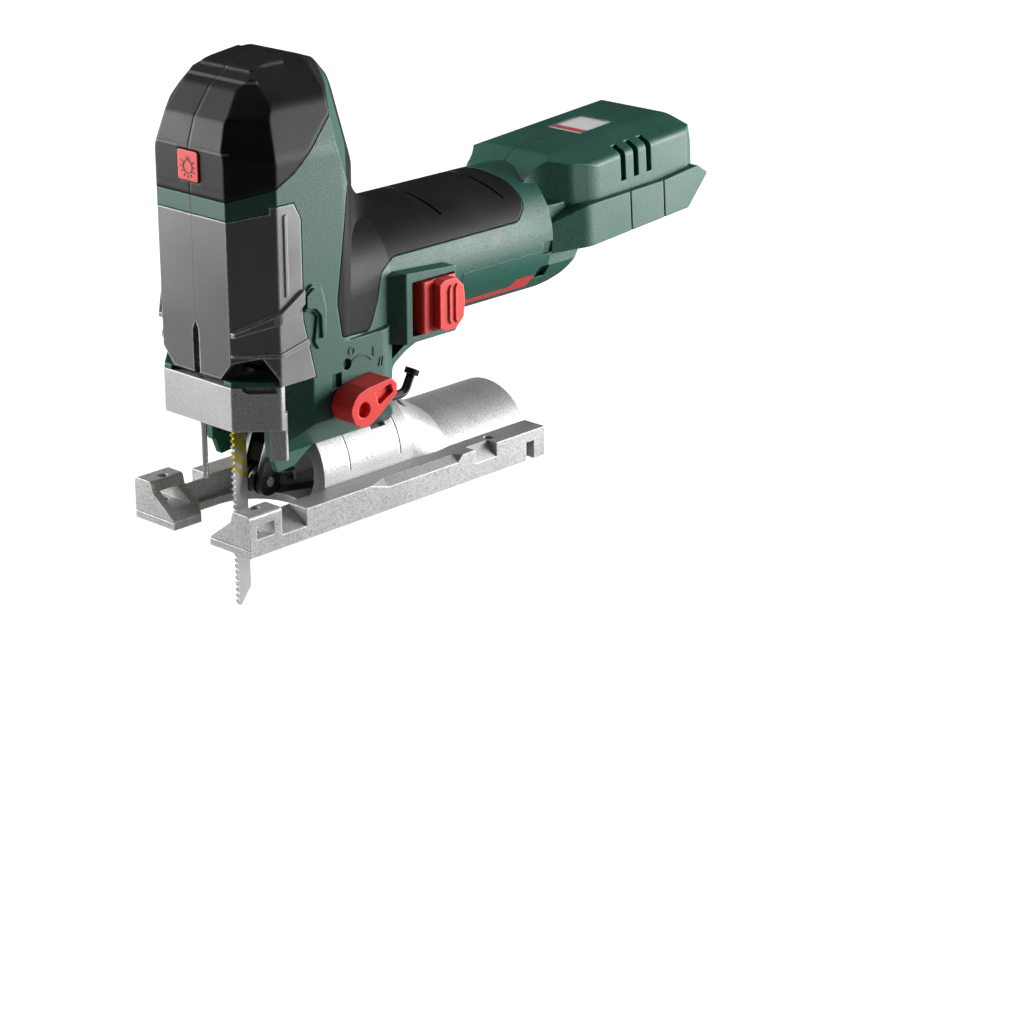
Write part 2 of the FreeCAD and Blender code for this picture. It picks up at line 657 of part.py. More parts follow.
def light_board():
    """Small switch board behind the button, with the cable-fed lamp below it."""
    board = box(head_front + 7.2, head_front + 8.6, -9, 9, 139, 156)
    shape = board.fuse(rod(head_front + 4.6, 0, 147.2, "x", 2.6, 1.6))
    for y, z in ((-7.6, 142), (7.6, 142), (-7.6, 153), (7.6, 153)):
        shape = shape.fuse(rod(head_front + skin + 0.2, y, z, "x", 5, 1.1))
    return shape.removeSplitter()


def lamp():
    """Work lamp on the carrier's front face, aimed at the blade."""
    return joined(rod(35.2, -9.8, 57.0, "x", 3.2, 2.0), rod(38.2, -9.8, 57.0, "x", 1.25, 2.6))


# ---------------------------------------------------------------- drive
def tooth_disc(teeth, x, y, z, width, phase):
    """Spur wheel on an X axis with straight-flanked teeth; phase is the angle of one tooth."""
    pitch = gear_module * teeth / 2
    root, tip = pitch - 1.15 * gear_module, pitch + 0.85 * gear_module
    points = []
    step = 2 * math.pi / teeth
    half_root, half_tip = 0.27 * step, 0.13 * step
    for i in range(teeth):
        middle = phase + i * step
        for angle, radius in ((-half_root, root), (-half_tip, tip), (half_tip, tip), (half_root, root)):
            points.append((y + radius * math.sin(middle + angle), z + radius * math.cos(middle + angle)))
    return slab("yz", points, x, x + width)


def crank_gear():
    """Gear, counterweight and crank pin in one turning piece, bored for its axle."""
    wheel = tooth_disc(gear_teeth, gear_front, 0, gear_height, gear_width, math.pi)
    wheel = wheel.cut(tube(gear_front + gear_width - 2.2, 0, gear_height, "x", 3, gear_radius - 4, 8.5))
    hub = rod(gear_front - 6, 0, gear_height, "x", 6, 7.5)
    weight = rod(gear_front - 5, 0, gear_height, "x", 5, gear_radius - 4)
    weight = weight.common(box(0, 100, -60, 60, 0, gear_height - 3))
    arm = box(gear_front - 4, gear_front, -6.5, 6.5, gear_height, gear_height + crank_radius)
    arm = arm.fuse(rod(gear_front - 4, 0, gear_height + crank_radius, "x", 4, 6.5))
    pin = rod(yoke_rear + 0.4, 0, gear_height + crank_radius, "x", gear_front - yoke_rear - 0.4, crank_pin_radius)
    shape = joined(wheel, hub, weight, arm, pin)
    return shape.cut(rod(30, 0, gear_height, "x", 40, axle_radius + running_gap))


axle_radius = 4.0
crank_pin_radius = 3.4
yoke_rear = 33.2


def gear_axle():
    """Pin pressed in the gearbox wall, with a head that holds the gear."""
    shaft = rod(gear_front - 7.2, 0, gear_height, "x", wall_rear - gear_front + 7.2, axle_radius)
    return joined(shaft, rod(gear_front - 8.2, 0, gear_height, "x", 1.8, 6.0))


def gearbox_frame():
    """Die-cast wall with two arms that carry the plunger bushes."""
    low, high = gear_height - 41, gear_height + 33
    wall = slab("yz", [(-27, low, 5), (27, low, 5), (27, high - 12, 8), (14, high, 5), (-14, high, 5),
                       (-27, high - 12, 8)], wall_front, wall_rear)
    fit = skin + 0.2
    wall = wall.common(head_volume(fit).fuse(barrel_volume(fit)).fuse(body_volume(fit)))
    upper = box(plunger_station, wall_front, -12, 12, upper_bush, upper_bush + 12.5)
    upper = upper.fuse(rod(plunger_station, 0, upper_bush, "z", 12.5, 9.0))
    lower = box(plunger_station, wall_front, -12, 12, lower_bush, lower_bush + 10)
    lower = lower.fuse(rod(plunger_station, 0, lower_bush, "z", 10, 9.0))
    shape = joined(wall, upper, lower)
    shape = shape.cut(rod(gear_front - 10, 0, gear_height, "x", wall_front - gear_front + 10, gear_radius + 2.0))
    shape = shape.cut(rod(gear_front - 1.5, 0, barrel_height, "x", gear_width + 3.5, pinion_radius + 2.6))
    shape = shape.cut(rod(40, 0, barrel_height, "x", 40, shaft_radius + 1.0))
    shape = shape.cut(rod(wall_front + 1, 0, barrel_height, "x", 20, bearing_radius))
    shape = shape.cut(rod(40, 0, gear_height, "x", 40, axle_radius))
    for z in (upper_bush, lower_bush):
        shape = shape.cut(rod(plunger_station, 0, z - 1, "z", 20, bush_radius))
    return shape


bush_radius = 6.5
bush_length = 8.0
upper_bush = gear_height + 20.5
lower_bush = gear_height - 33.0


def plunger_bushes():
    bushes = []
    for z in (upper_bush + 1, lower_bush + 1):
        bushes.append(tube(plunger_station, 0, z, "z", bush_length, bush_radius, plunger_radius + running_gap))
    return bushes


def plunger():
    """Reciprocating rod with the slotted yoke, at the top of its stroke."""
    top = upper_bush + bush_length + stroke + 0.8
    bottom = blade_top + 14
    shaft = rod(plunger_station, 0, bottom, "z", top - bottom - 1.2, plunger_radius)
    tip = Part.makeCone(plunger_radius, plunger_radius - 1.2, 1.2, Vector(plunger_station, 0, top - 1.2))
    middle = gear_height + crank_radius
    yoke = slab("yz", [(-20, middle - 6.8, 4), (20, middle - 6.8, 4), (20, middle + 6.8, 4), (-20, middle + 6.8, 4)],
                plunger_station, yoke_rear)
    groove = box(yoke_rear - 4, yoke_rear + 1, -16.6, 16.6, middle - 3.6, middle + 3.6)
    return joined(shaft, tip, yoke.cut(groove))


def blade_clamp():
    """Clamp body below the plunger, slotted for the blade's shank."""
    low, high = blade_top - 13, blade_top + 14
    body = rod(plunger_station, 0, low, "z", high - low, 6.2)
    slot = box(blade_front - 0.1, blade_back + 0.1, -blade_thickness / 2 - 0.1, blade_thickness / 2 + 0.1,
               low - 1, blade_top + 0.3)
    body = body.cut(slot)
    groove = tube(plunger_station, 0, low + 7, "z", 10, 8, 5.2)
    return body.cut(groove)


def release_collar():
    """Spring collar that is turned by its ear to free the blade."""
    low = blade_top - 13 + 7.3
    ring = tube(plunger_station, 0, low, "z", 9.4, 7.8, 5.2 + running_gap)
    gap = box(plunger_station, plunger_station + 20, -0.4, 0.4, low - 1, low + 12)
    ear = box(plunger_station - 2.0, plunger_station + 2.0, -13.0, -7.0, low + 1.5, low + 7.5)
    return joined(ring, ear).cut(gap)


def saw_blade():
    """T-shank blade: straight back, raked teeth facing the front, bayonet shank."""
    points = []
    teeth = int(round(toothed_length / tooth_pitch))
    depth = 1.35
    z = blade_tip
    points.append((blade_back, blade_tip + 7.0))
    points.append((blade_front + depth + 0.8, blade_tip))
    for i in range(teeth):
        low = blade_tip + i * tooth_pitch
        points.append((blade_front + depth, low + 0.35))
        points.append((blade_front, low + tooth_pitch * 0.92))
    shoulder = blade_tip + teeth * tooth_pitch
    shank = blade_front + 1.1
    points += [(blade_front + depth, shoulder + 0.4), (shank, shoulder + 2.0), (shank, blade_top - 6.5),
               (shank - 1.0, blade_top - 6.5), (shank - 1.0, blade_top - 3.5), (shank, blade_top - 3.5),
               (shank + 1.6, blade_top), (blade_back - 1.9, blade_top), (blade_back - 0.3, blade_top - 3.5),
               (blade_back, blade_top - 3.5)]
    return slab("xz", points, -blade_thickness / 2, blade_thickness / 2)


# ---------------------------------------------------------------- motor
motor_start = 76.0
stator_length = 34.0
fan_start = 121.0
fan_radius = 20.5
rear_bearing = 137.0
slots = 6


def stator():
    core = tube(motor_start, 0, barrel_height, "x", stator_length, stator_radius, rotor_radius + 0.6)
    for i in range(slots):
        cut = box(motor_start - 1, motor_start + stator_length + 1, -3.2, 3.2, rotor_radius + 2.2, stator_radius - 3)
        cut.rotate(Vector(0, 0, 0), Vector(1, 0, 0), i * 360 / slots)
        cut.translate(Vector(0, 0, barrel_height))
        core = core.cut(cut)
    return core


def windings():
    coils = []
    for i in range(slots):
        for x in (motor_start - 4.2, motor_start + stator_length + 0.2):
            coil = box(x, x + 4.0, -4.2, 4.2, rotor_radius + 1.6, stator_radius - 2.2)
            coil = coil.makeFillet(1.2, coil.Edges)
            coil.rotate(Vector(0, 0, 0), Vector(1, 0, 0), (i + 0.5) * 360 / slots)
            coil.translate(Vector(0, 0, barrel_height))
            coils.append(coil)
    return coils


def rotor():
    """Rotor core, shaft and pinion."""
    shaft = rod(gear_front, 0, barrel_height, "x", rear_bearing + 6 - gear_front, shaft_radius)
    core = rod(motor_start + 1, 0, barrel_height, "x", stator_length - 2, rotor_radius)
    pinion = tooth_disc(pinion_teeth, gear_front - 0.6, 0, barrel_height, gear_width + 1.2, math.pi / pinion_teeth)
    return joined(shaft, core, pinion)


def fan():
    plate = rod(fan_start, 0, barrel_height, "x", 1.6, fan_radius)
    shape = plate.fuse(rod(fan_start, 0, barrel_height, "x", 10, 5.5))
    for i in range(11):
        vane = box(fan_start + 1, fan_start + 8.5, -0.7, 0.7, 7.0, fan_radius - 0.4)
        vane.rotate(Vector(0, 0, 7.0), Vector(1, 0, 0), 24)
        vane.rotate(Vector(0, 0, 0), Vector(1, 0, 0), i * 360 / 11)
        vane.translate(Vector(0, 0, barrel_height))
        shape = shape.fuse(vane.common(rod(fan_start, 0, barrel_height, "x", 10, fan_radius)))
    return shape.cut(rod(fan_start - 1, 0, barrel_height, "x", 14, shaft_radius))


def bearings():
    front = tube(wall_front + 1, 0, barrel_height, "x", 6, bearing_radius, shaft_radius + running_gap)
    rear = tube(rear_bearing, 0, barrel_height, "x", 5, bearing_radius, shaft_radius + running_gap)
    return front, rear


def bearing_plate():
    """Spider that carries the rear bearing in the barrel."""
    ring = tube(rear_bearing - 0.5, 0, barrel_height, "x", 6.5, barrel_radius - skin - 0.1, 21.5)
    hub = rod(rear_bearing - 0.5, 0, barrel_height, "x", 6.5, bearing_radius + 2.5)
    shape = ring.fuse(hub)
    for i in range(4):
        spoke = box(rear_bearing - 0.5, rear_bearing + 6, -2, 2, 8, 23)
        spoke.rotate(Vector(0, 0, 0), Vector(1, 0, 0), 45 + i * 90)
        spoke.translate(Vector(0, 0, barrel_height))
        shape = shape.fuse(spoke)
    shape = shape.cut(rod(rear_bearing, 0, barrel_height, "x", 5, bearing_radius))
    shape = shape.cut(rod(rear_bearing - 2, 0, barrel_height, "x", 12, shaft_radius + 0.8))
    return shape.cut(box(rear_bearing - 2, rear_bearing + 8, -28, -20.5, barrel_height - 4, barrel_height + 4))


# ---------------------------------------------------------------- pendulum
def pendulum_fork():
    """Two cheeks that hold the guide roller, hung from a pivot inside the body."""
    cheek = [(roller_station - 5.2, roller_height - 1.2, 4.0), (roller_station - 3.4, roller_height + 6.0),
             (36.8, 35.0), (40.0, fork_pivot_height + 5, 4.5), (fork_pivot_station + 5, fork_pivot_height + 5, 4.5),
             (fork_pivot_station + 1.0, 32.0), (roller_station + 6.2, roller_height + 2.5, 3.0),
             (roller_station + 4.0, roller_height - 5.6, 4.0), (roller_station - 4.0, roller_height - 5.6, 4.5)]
    shape = slab("xz", cheek, 4.0, 6.8).fuse(slab("xz", cheek, -6.8, -4.0))
    web = slab("xz", [(42.3, 27.0), (46.4, 36.0), (44.8, 46), (40.8, 46), (39.0, 34.0)], -4.2, 4.2)
    shape = joined(shape, web)
    shape = shape.cut(rod(roller_station, -10, roller_height, "y", 20, roller_pin_radius))
    return shape.cut(rod(fork_pivot_station, -10, fork_pivot_height, "y", 20, fork_pin_radius + running_gap))


roller_pin_radius = 1.9
fork_pin_radius = 2.0


def fork_tail():
    """Black blade rest behind the roller, ending in two prongs."""
    plan = [(roller_station + 2.5, -6.8), (48.0, -6.8), (59.0, -7.2, 0.6), (58.2, -4.6), (51.5, -2.2, 1.0),
            (51.5, 2.2, 1.0), (58.2, 4.6), (59.0, 7.2, 0.6), (48.0, 6.8), (roller_station + 2.5, 6.8)]
    side = [(roller_station + 2.5, roller_height - 5.4), (59.5, 6.8), (59.5, 10.0), (48, 11.5),
            (roller_station + 2.5, roller_height - 2.2)]
    plate = slab("xy", plan, 0, 20).common(slab("xz", side, -12, 12))
    plate = plate.cut(rod(roller_station, -20, roller_height, "y", 40, roller_radius + 0.6))
    return plate


def roller():
    shape = tube(roller_station, -roller_width / 2, roller_height, "y", roller_width, roller_radius,
                 roller_pin_radius + running_gap)
    half = blade_thickness / 2
    groove = tube(roller_station, -half - 0.4, roller_height, "y", 2 * half + 0.8, roller_radius + 1,
                  roller_radius - 0.9)
    return shape.cut(groove)


def roller_pin():
    return rod(roller_station, -7.4, roller_height, "y", 14.8, roller_pin_radius)


def fork_pin():
    """Pivot pin held in the two body bosses."""
    return rod(fork_pivot_station, -12.0, fork_pivot_height, "y", 24.0, fork_pin_radius)


def fork_carrier():
    """Cast bridge below the gearbox that holds the pendulum pivot and the clamp nut."""
    floor = tilt_height + saddle_radius + swivel_gap + skin + 0.1
    cheek = [(39.5, floor + 2), (52, floor + 0.2), (52, 64), (39.5, 64)]
    shape = slab("xz", cheek, 7.6, 12.0).fuse(slab("xz", cheek, -12.0, -7.6))
    deck = box(50.5, body_rear - skin - 0.3, -12.0, 12.0, floor + 0.2, floor + 6.2)
    post = box(50.5, 53.0, -12.0, 12.0, floor, gear_height - 41)
    rib = box(53.0, 60.0, -10.0, 10.0, 64, gear_height - 41)
    shape = joined(shape, deck, post, box(50.5, 60.0, -12.0, 12.0, 62, 66), rib)
    shape = shape.cut(rod(fork_pivot_station, -20, fork_pivot_height, "y", 40, fork_pin_radius))
    shape = shape.cut(rod(clamp_station, 0, 30, "z", 30, clamp_screw_radius))
    return shape.cut(rod(74.0, -30, 54.0, "y", 60, boss_radius + 0.2))


# ---------------------------------------------------------------- bevel clamp and key
clamp_seat = tilt_height + saddle_radius - saddle_wall - swivel_gap - 3.2


def clamp_washer():
    """Curved washer that pulls the body down on the saddle from inside."""
    inner = saddle_radius - saddle_wall - swivel_gap
    ring = tube(clamp_station - 8, 0, tilt_height, "x", 16, inner, inner - 3.0)
    sector = box(0, 200, -8, 8, tilt_height + 5, 100)
    washer = ring.common(sector).cut(rod(clamp_station, 0, 0, "z", 60, clamp_screw_radius + 0.2))
    return washer.cut(rod(clamp_station, 0, 0, "z", clamp_seat + 0.05, 5.3))


def clamp_screw():
    seat = clamp_seat
    head = rod(clamp_station, 0, seat - 4.5, "z", 4.5, 5.0)
    head = head.cut(slab("xy", [(clamp_station + 2.5 * math.cos(i * math.pi / 3),
                                 2.5 * math.sin(i * math.pi / 3)) for i in range(6)], seat - 5, seat - 2))
    return joined(head, rod(clamp_station, 0, seat, "z", 15.6, clamp_screw_radius))


key_half = 1.6
key_y = -22.0
key_z = 41.6
key_length = 42.0
key_bend = 62.0           # degrees the short end turns up


def hex_key(clearance=0.0):
    """Hexagonal key stored in the body, its short end turned up behind the rear wall."""
    size = (key_half + clearance) / math.cos(math.pi / 6)
    end = 93.0
    radius = 4.0
    turn = math.radians(key_bend)
    bend_end = Vector(end + radius * math.sin(turn), key_y, key_z + radius * (1 - math.cos(turn)))
    bend_mid = Vector(end + radius * math.sin(turn / 2), key_y, key_z + radius * (1 - math.cos(turn / 2)))
    tip = bend_end + Vector(math.cos(turn), 0, math.sin(turn)) * 6.0
    start = Vector(end - key_length - clearance, key_y, key_z)
    if clearance:
        return slab("yz", hexagon(key_y, key_z, size), start.x, end + 2)
    path = Part.Wire([
        Part.LineSegment(start, Vector(end, key_y, key_z)).toShape(),
        Part.Arc(Vector(end, key_y, key_z), bend_mid, bend_end).toShape(),
        Part.LineSegment(bend_end, tip).toShape(),
    ])
    section = outline("yz", hexagon(key_y, key_z, size), start.x)
    knob = Part.makeCylinder(3.0, 2.4, tip - Vector(math.cos(turn), 0, math.sin(turn)) * 0.6,
                             Vector(math.cos(turn), 0, math.sin(turn)))
    return joined(path.makePipeShell([section], True, True), knob)


def hexagon(y, z, size):
    return [(y + size * math.cos(i * math.pi / 3), z + size * math.sin(i * math.pi / 3)) for i in range(6)]


# ---------------------------------------------------------------- controls
def orbit_knob():
    """Four-position selector with a pointed lever and a finger dimple."""
    inner, outer = -head_half_width - 0.4, -head_half_width - 12.0
    lever = [(-7.4, -3.4, 4.0), (-2.0, -7.2, 4.5), (3.6, -6.8, 3.5), (16.2, -3.6, 1.0), (18.0, 0.4, 1.0),
             (16.2, 4.0, 1.0), (3.6, 7.2, 4.5), (-2.0, 7.6, 4.5), (-7.4, 3.6, 4.0)]
    shape = slab("xz", lever, outer, inner)
    shape = shape.fuse(rod(0, outer, 0, "y", inner - outer, 7.4))
    shape = shape.cut(rod(-1.0, outer - 1, 0, "y", 4.0, 3.2))
    shape = shape.cut(rod(0, -head_half_width - 2.05, 0, "y", 5.0, knob_shaft_radius + 0.05))
    window = [(6.5, -2.6, 0.5), (15.0, -1.6, 0.5), (15.0, 2.2, 0.5), (6.5, 3.2, 0.5)]
    shape = shape.cut(slab("xz", window, outer - 1, outer + 2.0))
    shape.rotate(Vector(0, 0, 0), Vector(0, 1, 0), -knob_angle)
    shape.translate(Vector(knob_station, 0, knob_height))
    return shape


def knob_shaft():
    """Selector shaft with the cam that sets the pendulum travel."""
    start = -head_half_width - 2.0
    shaft = rod(knob_station, start, knob_height, "y", 18.0, knob_shaft_radius)
    return shaft.cut(box(knob_station - 10, knob_station - 1.2, start + 14, start + 30, knob_height - 8,
                         knob_height + 8))


switch_travel = 4.0


def switch_slider():
    """Slide button with a raised, ribbed thumb rest."""
    front, rear, low, high = switch_window
    front += switch_travel + 0.4
    rear -= 0.6
    plan = [(front, -26.2), (front, -36.2, 1.0), (98.0, -36.2), (99.5, -35.2), (rear, -35.2), (rear, -26.2)]
    shape = slab("xy", plan, low + 0.6, high - 0.6)
    middle = (low + high) / 2
    hexed = [(98.6, middle - 9.0), (101.4, middle - 10.4), (107.6, middle - 10.4), (111.8, middle - 6.4),
             (112.6, middle), (111.8, middle + 6.4), (107.6, middle + 10.4), (101.4, middle + 10.4),
             (98.6, middle + 9.0)]
    shape = shape.fuse(slab("xz", hexed, -39.6, -34.75))
    for i in range(2):
        x = 103.2 + 3.4 * i
        rib = [(x, middle - 6.5), (x + 1.2, middle - 8.0), (x + 1.2, middle + 8.0), (x, middle + 6.5)]
        shape = shape.fuse(slab("xz", rib, -40.3, -39.4))
    return shape.removeSplitter()


def switch_rod():
    """Flat link from the slider to the switch at the rear of the motor."""
    return joined(box(98.0, 150.0, -24.9, -23.4, barrel_height - 2.5, barrel_height + 2.5),
                  box(98.0, 106.0, -26.2, -23.4, barrel_height - 6.0, barrel_height - 1.0))


def micro_switch():
    return joined(box(154.6, 168.0, -22.0, -13.0, barrel_height - 5, barrel_height + 5),
                  box(154.4, 156.0, -24.6, -21.0, barrel_height - 3, barrel_height + 3))


def controller():
    """Round motor controller board with its capacitors and power transistors."""
    board = rod(147.6, 0, barrel_height, "x", 1.6, barrel_radius - skin - 0.4)
    board = board.cut(box(140, 170, -28, -18.5, barrel_height - 6, barrel_height + 6))
    shape = board
    for y, z in ((8, 9), (-3, 12), (10, -8)):
        shape = shape.fuse(rod(149.2, y, barrel_height + z, "x", 9, 4.0))
    for i in range(3):
        shape = shape.fuse(box(149.2, 152, -13 + 7 * i, -8.5 + 7 * i, barrel_height - 17, barrel_height - 11))
    return shape


def terminal_block():
    body = box(11.2, 27.0, -17.0, 17.0, -17.5, shoe_floor - 1.0)
    for y in (-12.0, -6.0, 0.0, 6.0, 12.0):
        body = body.cut(box(15.0, 40.0, y - 1.3, y + 1.3, -16.2, -9.0))
    return in_shoe(body)


def contact_blades():
    blades = []
    for y in (-12.0, -6.0, 0.0, 6.0, 12.0):
        blades.append(in_shoe(box(15.0, 25.8, y - 0.4, y + 0.4, -15.6, -9.6)))
    return blades


def label_window():
    u0, u1, v0, v1 = window_box
    return in_shoe(box(u0 + 0.2, u1 - 0.2, v0 + 0.2, v1 - 0.2, 18.2, 19.0))


def housing_screws():
    screws = []
    for x, z in screw_places:
        shaft = rod(x, -16.0, z, "y", 30.5, screw_radius)
        head = rod(x, 14.5, z, "y", 2.6, screw_head_radius)
        recess = rod(x, 16.0, z, "y", 3, 1.5)
        screws.append(joined(shaft, head).cut(recess))
    return screws


# ---------------------------------------------------------------- assembly and export
def build():
    screws, bosses = saddle_screws()
    keep("base_plate", base_plate())
    keep("swivel_saddle", swivel_saddle())
    keep("saddle_bosses", *bosses)
    keep("saddle_screws", *screws)
    left, right = halves(housing())
    keep("housing_left", left)
    keep("housing_right", right)
    left, right = halves(cap().cut(light_pocket()))
    keep("head_cap_left", left)
    keep("head_cap_right", right)
    left, right = halves(grip())
    keep("grip_left", left)
    keep("grip_right", right)
    keep("chip_cover", chip_cover())
    keep("front_guard", front_guard())
    keep("guard_rod", guard_rod())
    keep("light_button", light_button())
    keep("light_board", light_board())
    keep("work_lamp", lamp())
    keep("gearbox_frame", gearbox_frame())
    keep("plunger_bushes", *plunger_bushes())
    keep("gear_axle", gear_axle())
    keep("crank_gear", crank_gear())
    keep("plunger", plunger())
    keep("blade_clamp", blade_clamp())
    keep("release_collar", release_collar())
    keep("saw_blade", saw_blade())
    keep("motor_stator", stator())
    keep("motor_windings", *windings())
    keep("motor_rotor", rotor())
    keep("cooling_fan", fan())
    keep("motor_bearings", *bearings())
    keep("bearing_plate", bearing_plate())
    keep("pendulum_fork", pendulum_fork())
    keep("fork_tail", fork_tail())
    keep("guide_roller", roller())
    keep("roller_pin", roller_pin())
    keep("fork_pin", fork_pin())
    keep("fork_carrier", fork_carrier())
    keep("clamp_washer", clamp_washer())
    keep("clamp_screw", clamp_screw())
    keep("hex_key", hex_key())
    keep("orbit_knob", orbit_knob())
    keep("knob_shaft", knob_shaft())
    keep("switch_slider", switch_slider())
    keep("switch_rod", switch_rod())
    keep("micro_switch", micro_switch())
    keep("motor_controller", controller())
    keep("terminal_block", terminal_block())
    keep("contact_blades", *contact_blades())
    keep("label_window", label_window())
    keep("housing_screws", *housing_screws())


def export():
    os.makedirs("parts", exist_ok=True)
    shift = Vector(-base_length / 2, 0, 0)
    for name, shapes in parts.items():
        solids = [solid for shape in shapes for solid in shape.Solids]
        whole = Part.makeCompound(solids) if len(solids) > 1 else solids[0]
        whole = whole.copy()
        whole.translate(shift)
        whole.exportStep(os.path.join("parts", name + ".step"))
        volume = sum(solid.Volume for solid in solids)
        print(f"{name:18s} {len(solids)} solids {volume / 1000:8.2f} cm3 valid {whole.isValid()}")


build()
export()
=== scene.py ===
import math
import bmesh
import bpy
from mathutils import Matrix, Vector
from mathutils.bvhtree import BVHTree


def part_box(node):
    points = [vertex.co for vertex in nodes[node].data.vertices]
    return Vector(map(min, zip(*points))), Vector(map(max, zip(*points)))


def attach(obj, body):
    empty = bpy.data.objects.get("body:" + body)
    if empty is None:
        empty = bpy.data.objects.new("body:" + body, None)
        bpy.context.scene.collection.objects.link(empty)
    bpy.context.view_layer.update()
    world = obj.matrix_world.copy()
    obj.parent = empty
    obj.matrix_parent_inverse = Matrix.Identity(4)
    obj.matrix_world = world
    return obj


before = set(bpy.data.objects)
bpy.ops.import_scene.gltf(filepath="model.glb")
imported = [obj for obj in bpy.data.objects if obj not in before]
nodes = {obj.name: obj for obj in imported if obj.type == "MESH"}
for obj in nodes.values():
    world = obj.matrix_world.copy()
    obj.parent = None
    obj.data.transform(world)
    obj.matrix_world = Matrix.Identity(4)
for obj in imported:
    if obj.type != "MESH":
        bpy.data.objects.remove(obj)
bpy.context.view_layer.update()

mm = 0.001

# ------------------------------------------------------------------ base plate
# The sole and its two toes are one aluminium casting, milled flat below and shot-blasted above to
# an even speckled grain. Its edges are rubbed bright. Other bare castings share the finish.


def shader_group(name, inputs, outputs):
    """A node group with named float inputs and outputs, with its two end nodes."""
    group = bpy.data.node_groups.new(name, "ShaderNodeTree")
    for label, value in inputs:
        socket = group.interface.new_socket(label, in_out="INPUT", socket_type="NodeSocketFloat")
        socket.default_value = value
    for label in outputs:
        group.interface.new_socket(label, in_out="OUTPUT", socket_type="NodeSocketFloat")
    return group, group.nodes.new("NodeGroupInput"), group.nodes.new("NodeGroupOutput")


def number(tree, kind, a, b=0.0):
    """A maths node; each input is a socket or a plain number, and some kinds leave b out."""
    node = tree.nodes.new("ShaderNodeMath")
    node.operation = kind
    for socket, value in zip(node.inputs, (a, b)):
        if isinstance(value, (int, float)):
            socket.default_value = value
        else:
            tree.links.new(value, socket)
    return node.outputs[0]


def ramp(tree, value, start, end, low=0.0, high=1.0):
    """A clamped straight ramp of a socket, from low at start to high at end."""
    node = tree.nodes.new("ShaderNodeMapRange")
    for label, setting in (("From Min", start), ("From Max", end), ("To Min", low), ("To Max", high)):
        node.inputs[label].default_value = setting
    tree.links.new(value, node.inputs["Value"])
    return node.outputs["Result"]


def noise(tree, scale, detail):
    """Fractal noise over Object coordinates; scale is a socket or a number, per metre."""
    node = tree.nodes.new("ShaderNodeTexNoise")
    node.inputs["Detail"].default_value = detail
    node.inputs["Roughness"].default_value = 0.6
    if isinstance(scale, (int, float)):
        node.inputs["Scale"].default_value = scale
    else:
        tree.links.new(scale, node.inputs["Scale"])
    tree.links.new(tree.nodes.new("ShaderNodeTexCoord").outputs["Object"], node.inputs["Vector"])
    return node.outputs["Fac"]


def make_fine_grain():
    """Blasted or spark-eroded grain: speckles of the given size in mm over a slow unevenness."""
    patch_scale = 38.0
    patch_relief = 0.3
    group, start, end = shader_group("fine_grain", [("Size", 0.9)], ["Height", "Patches", "Speckle"])
    speckle = noise(group, number(group, "DIVIDE", 1000.0, start.outputs["Size"]), 3.0)
    patches = noise(group, patch_scale, 4.0)
    relief = number(group, "ADD", speckle, number(group, "MULTIPLY", patches, patch_relief))
    group.links.new(relief, end.inputs["Height"])
    group.links.new(ramp(group, patches, 0.35, 0.65), end.inputs["Patches"])
    group.links.new(ramp(group, speckle, 0.50, 0.62), end.inputs["Speckle"])
    return group


def make_edge_wear_and_highlight():
    """Mask along edges, broken up by noise, from how far rounded and true normals part."""
    gain = 6.0
    scratch_scale = 420.0
    group, start, end = shader_group("edge_wear_and_highlight", [("Reach", 0.001), ("Amount", 1.0)], ["Mask"])
    rounded = group.nodes.new("ShaderNodeBevel")
    rounded.samples = 4
    group.links.new(start.outputs["Reach"], rounded.inputs["Radius"])
    near = group.nodes.new("ShaderNodeVectorMath")
    near.operation = "DOT_PRODUCT"
    group.links.new(rounded.outputs[0], near.inputs[0])
    group.links.new(group.nodes.new("ShaderNodeNewGeometry").outputs["Normal"], near.inputs[1])
    part = number(group, "MULTIPLY", number(group, "SUBTRACT", 1.0, near.outputs["Value"]), gain)
    part = number(group, "MULTIPLY", part, ramp(group, noise(group, scratch_scale, 5.0), 0.3, 0.6))
    part = number(group, "MULTIPLY", part, start.outputs["Amount"])
    group.links.new(number(group, "MINIMUM", part, 1.0), end.inputs["Mask"])
    return group


def make_gap_shade():
    """Mask in gaps and inner corners from ambient occlusion, where shade is painted into the colour."""
    group, start, end = shader_group("gap_shade", [("Distance", 0.002)], ["Mask"])
    shade = group.nodes.new("ShaderNodeAmbientOcclusion")
    shade.samples = 6
    group.links.new(start.outputs["Distance"], shade.inputs["Distance"])
    group.links.new(ramp(group, shade.outputs["AO"], 0.25, 0.75, 1.0, 0.0), end.inputs["Mask"])
    return group


fine_grain = make_fine_grain()
edge_wear_and_highlight = make_edge_wear_and_highlight()
gap_shade = make_gap_shade()


def use(tree, group, **settings):
    """Places a shared group in a material, with its own values."""
    node = tree.nodes.new("ShaderNodeGroup")
    node.node_tree = group
    for label, value in settings.items():
        node.inputs[label].default_value = value
    return node.outputs


def over(material, mask, colour, strength=1.0):
    """Lays a colour over what a material has so far, where the mask is 1."""
    tree = material.node_tree
    base = tree.nodes["Principled BSDF"].inputs["Base Color"]
    mix = tree.nodes.new("ShaderNodeMix")
    mix.data_type = "RGBA"
    mix.inputs["A"].default_value = base.default_value
    if base.links:
        tree.links.new(base.links[0].from_socket, mix.inputs["A"])
    mix.inputs["B"].default_value = (*colour, 1)
    tree.links.new(number(tree, "MULTIPLY", mask, strength), mix.inputs["Factor"])
    tree.links.new(mix.outputs["Result"], base)


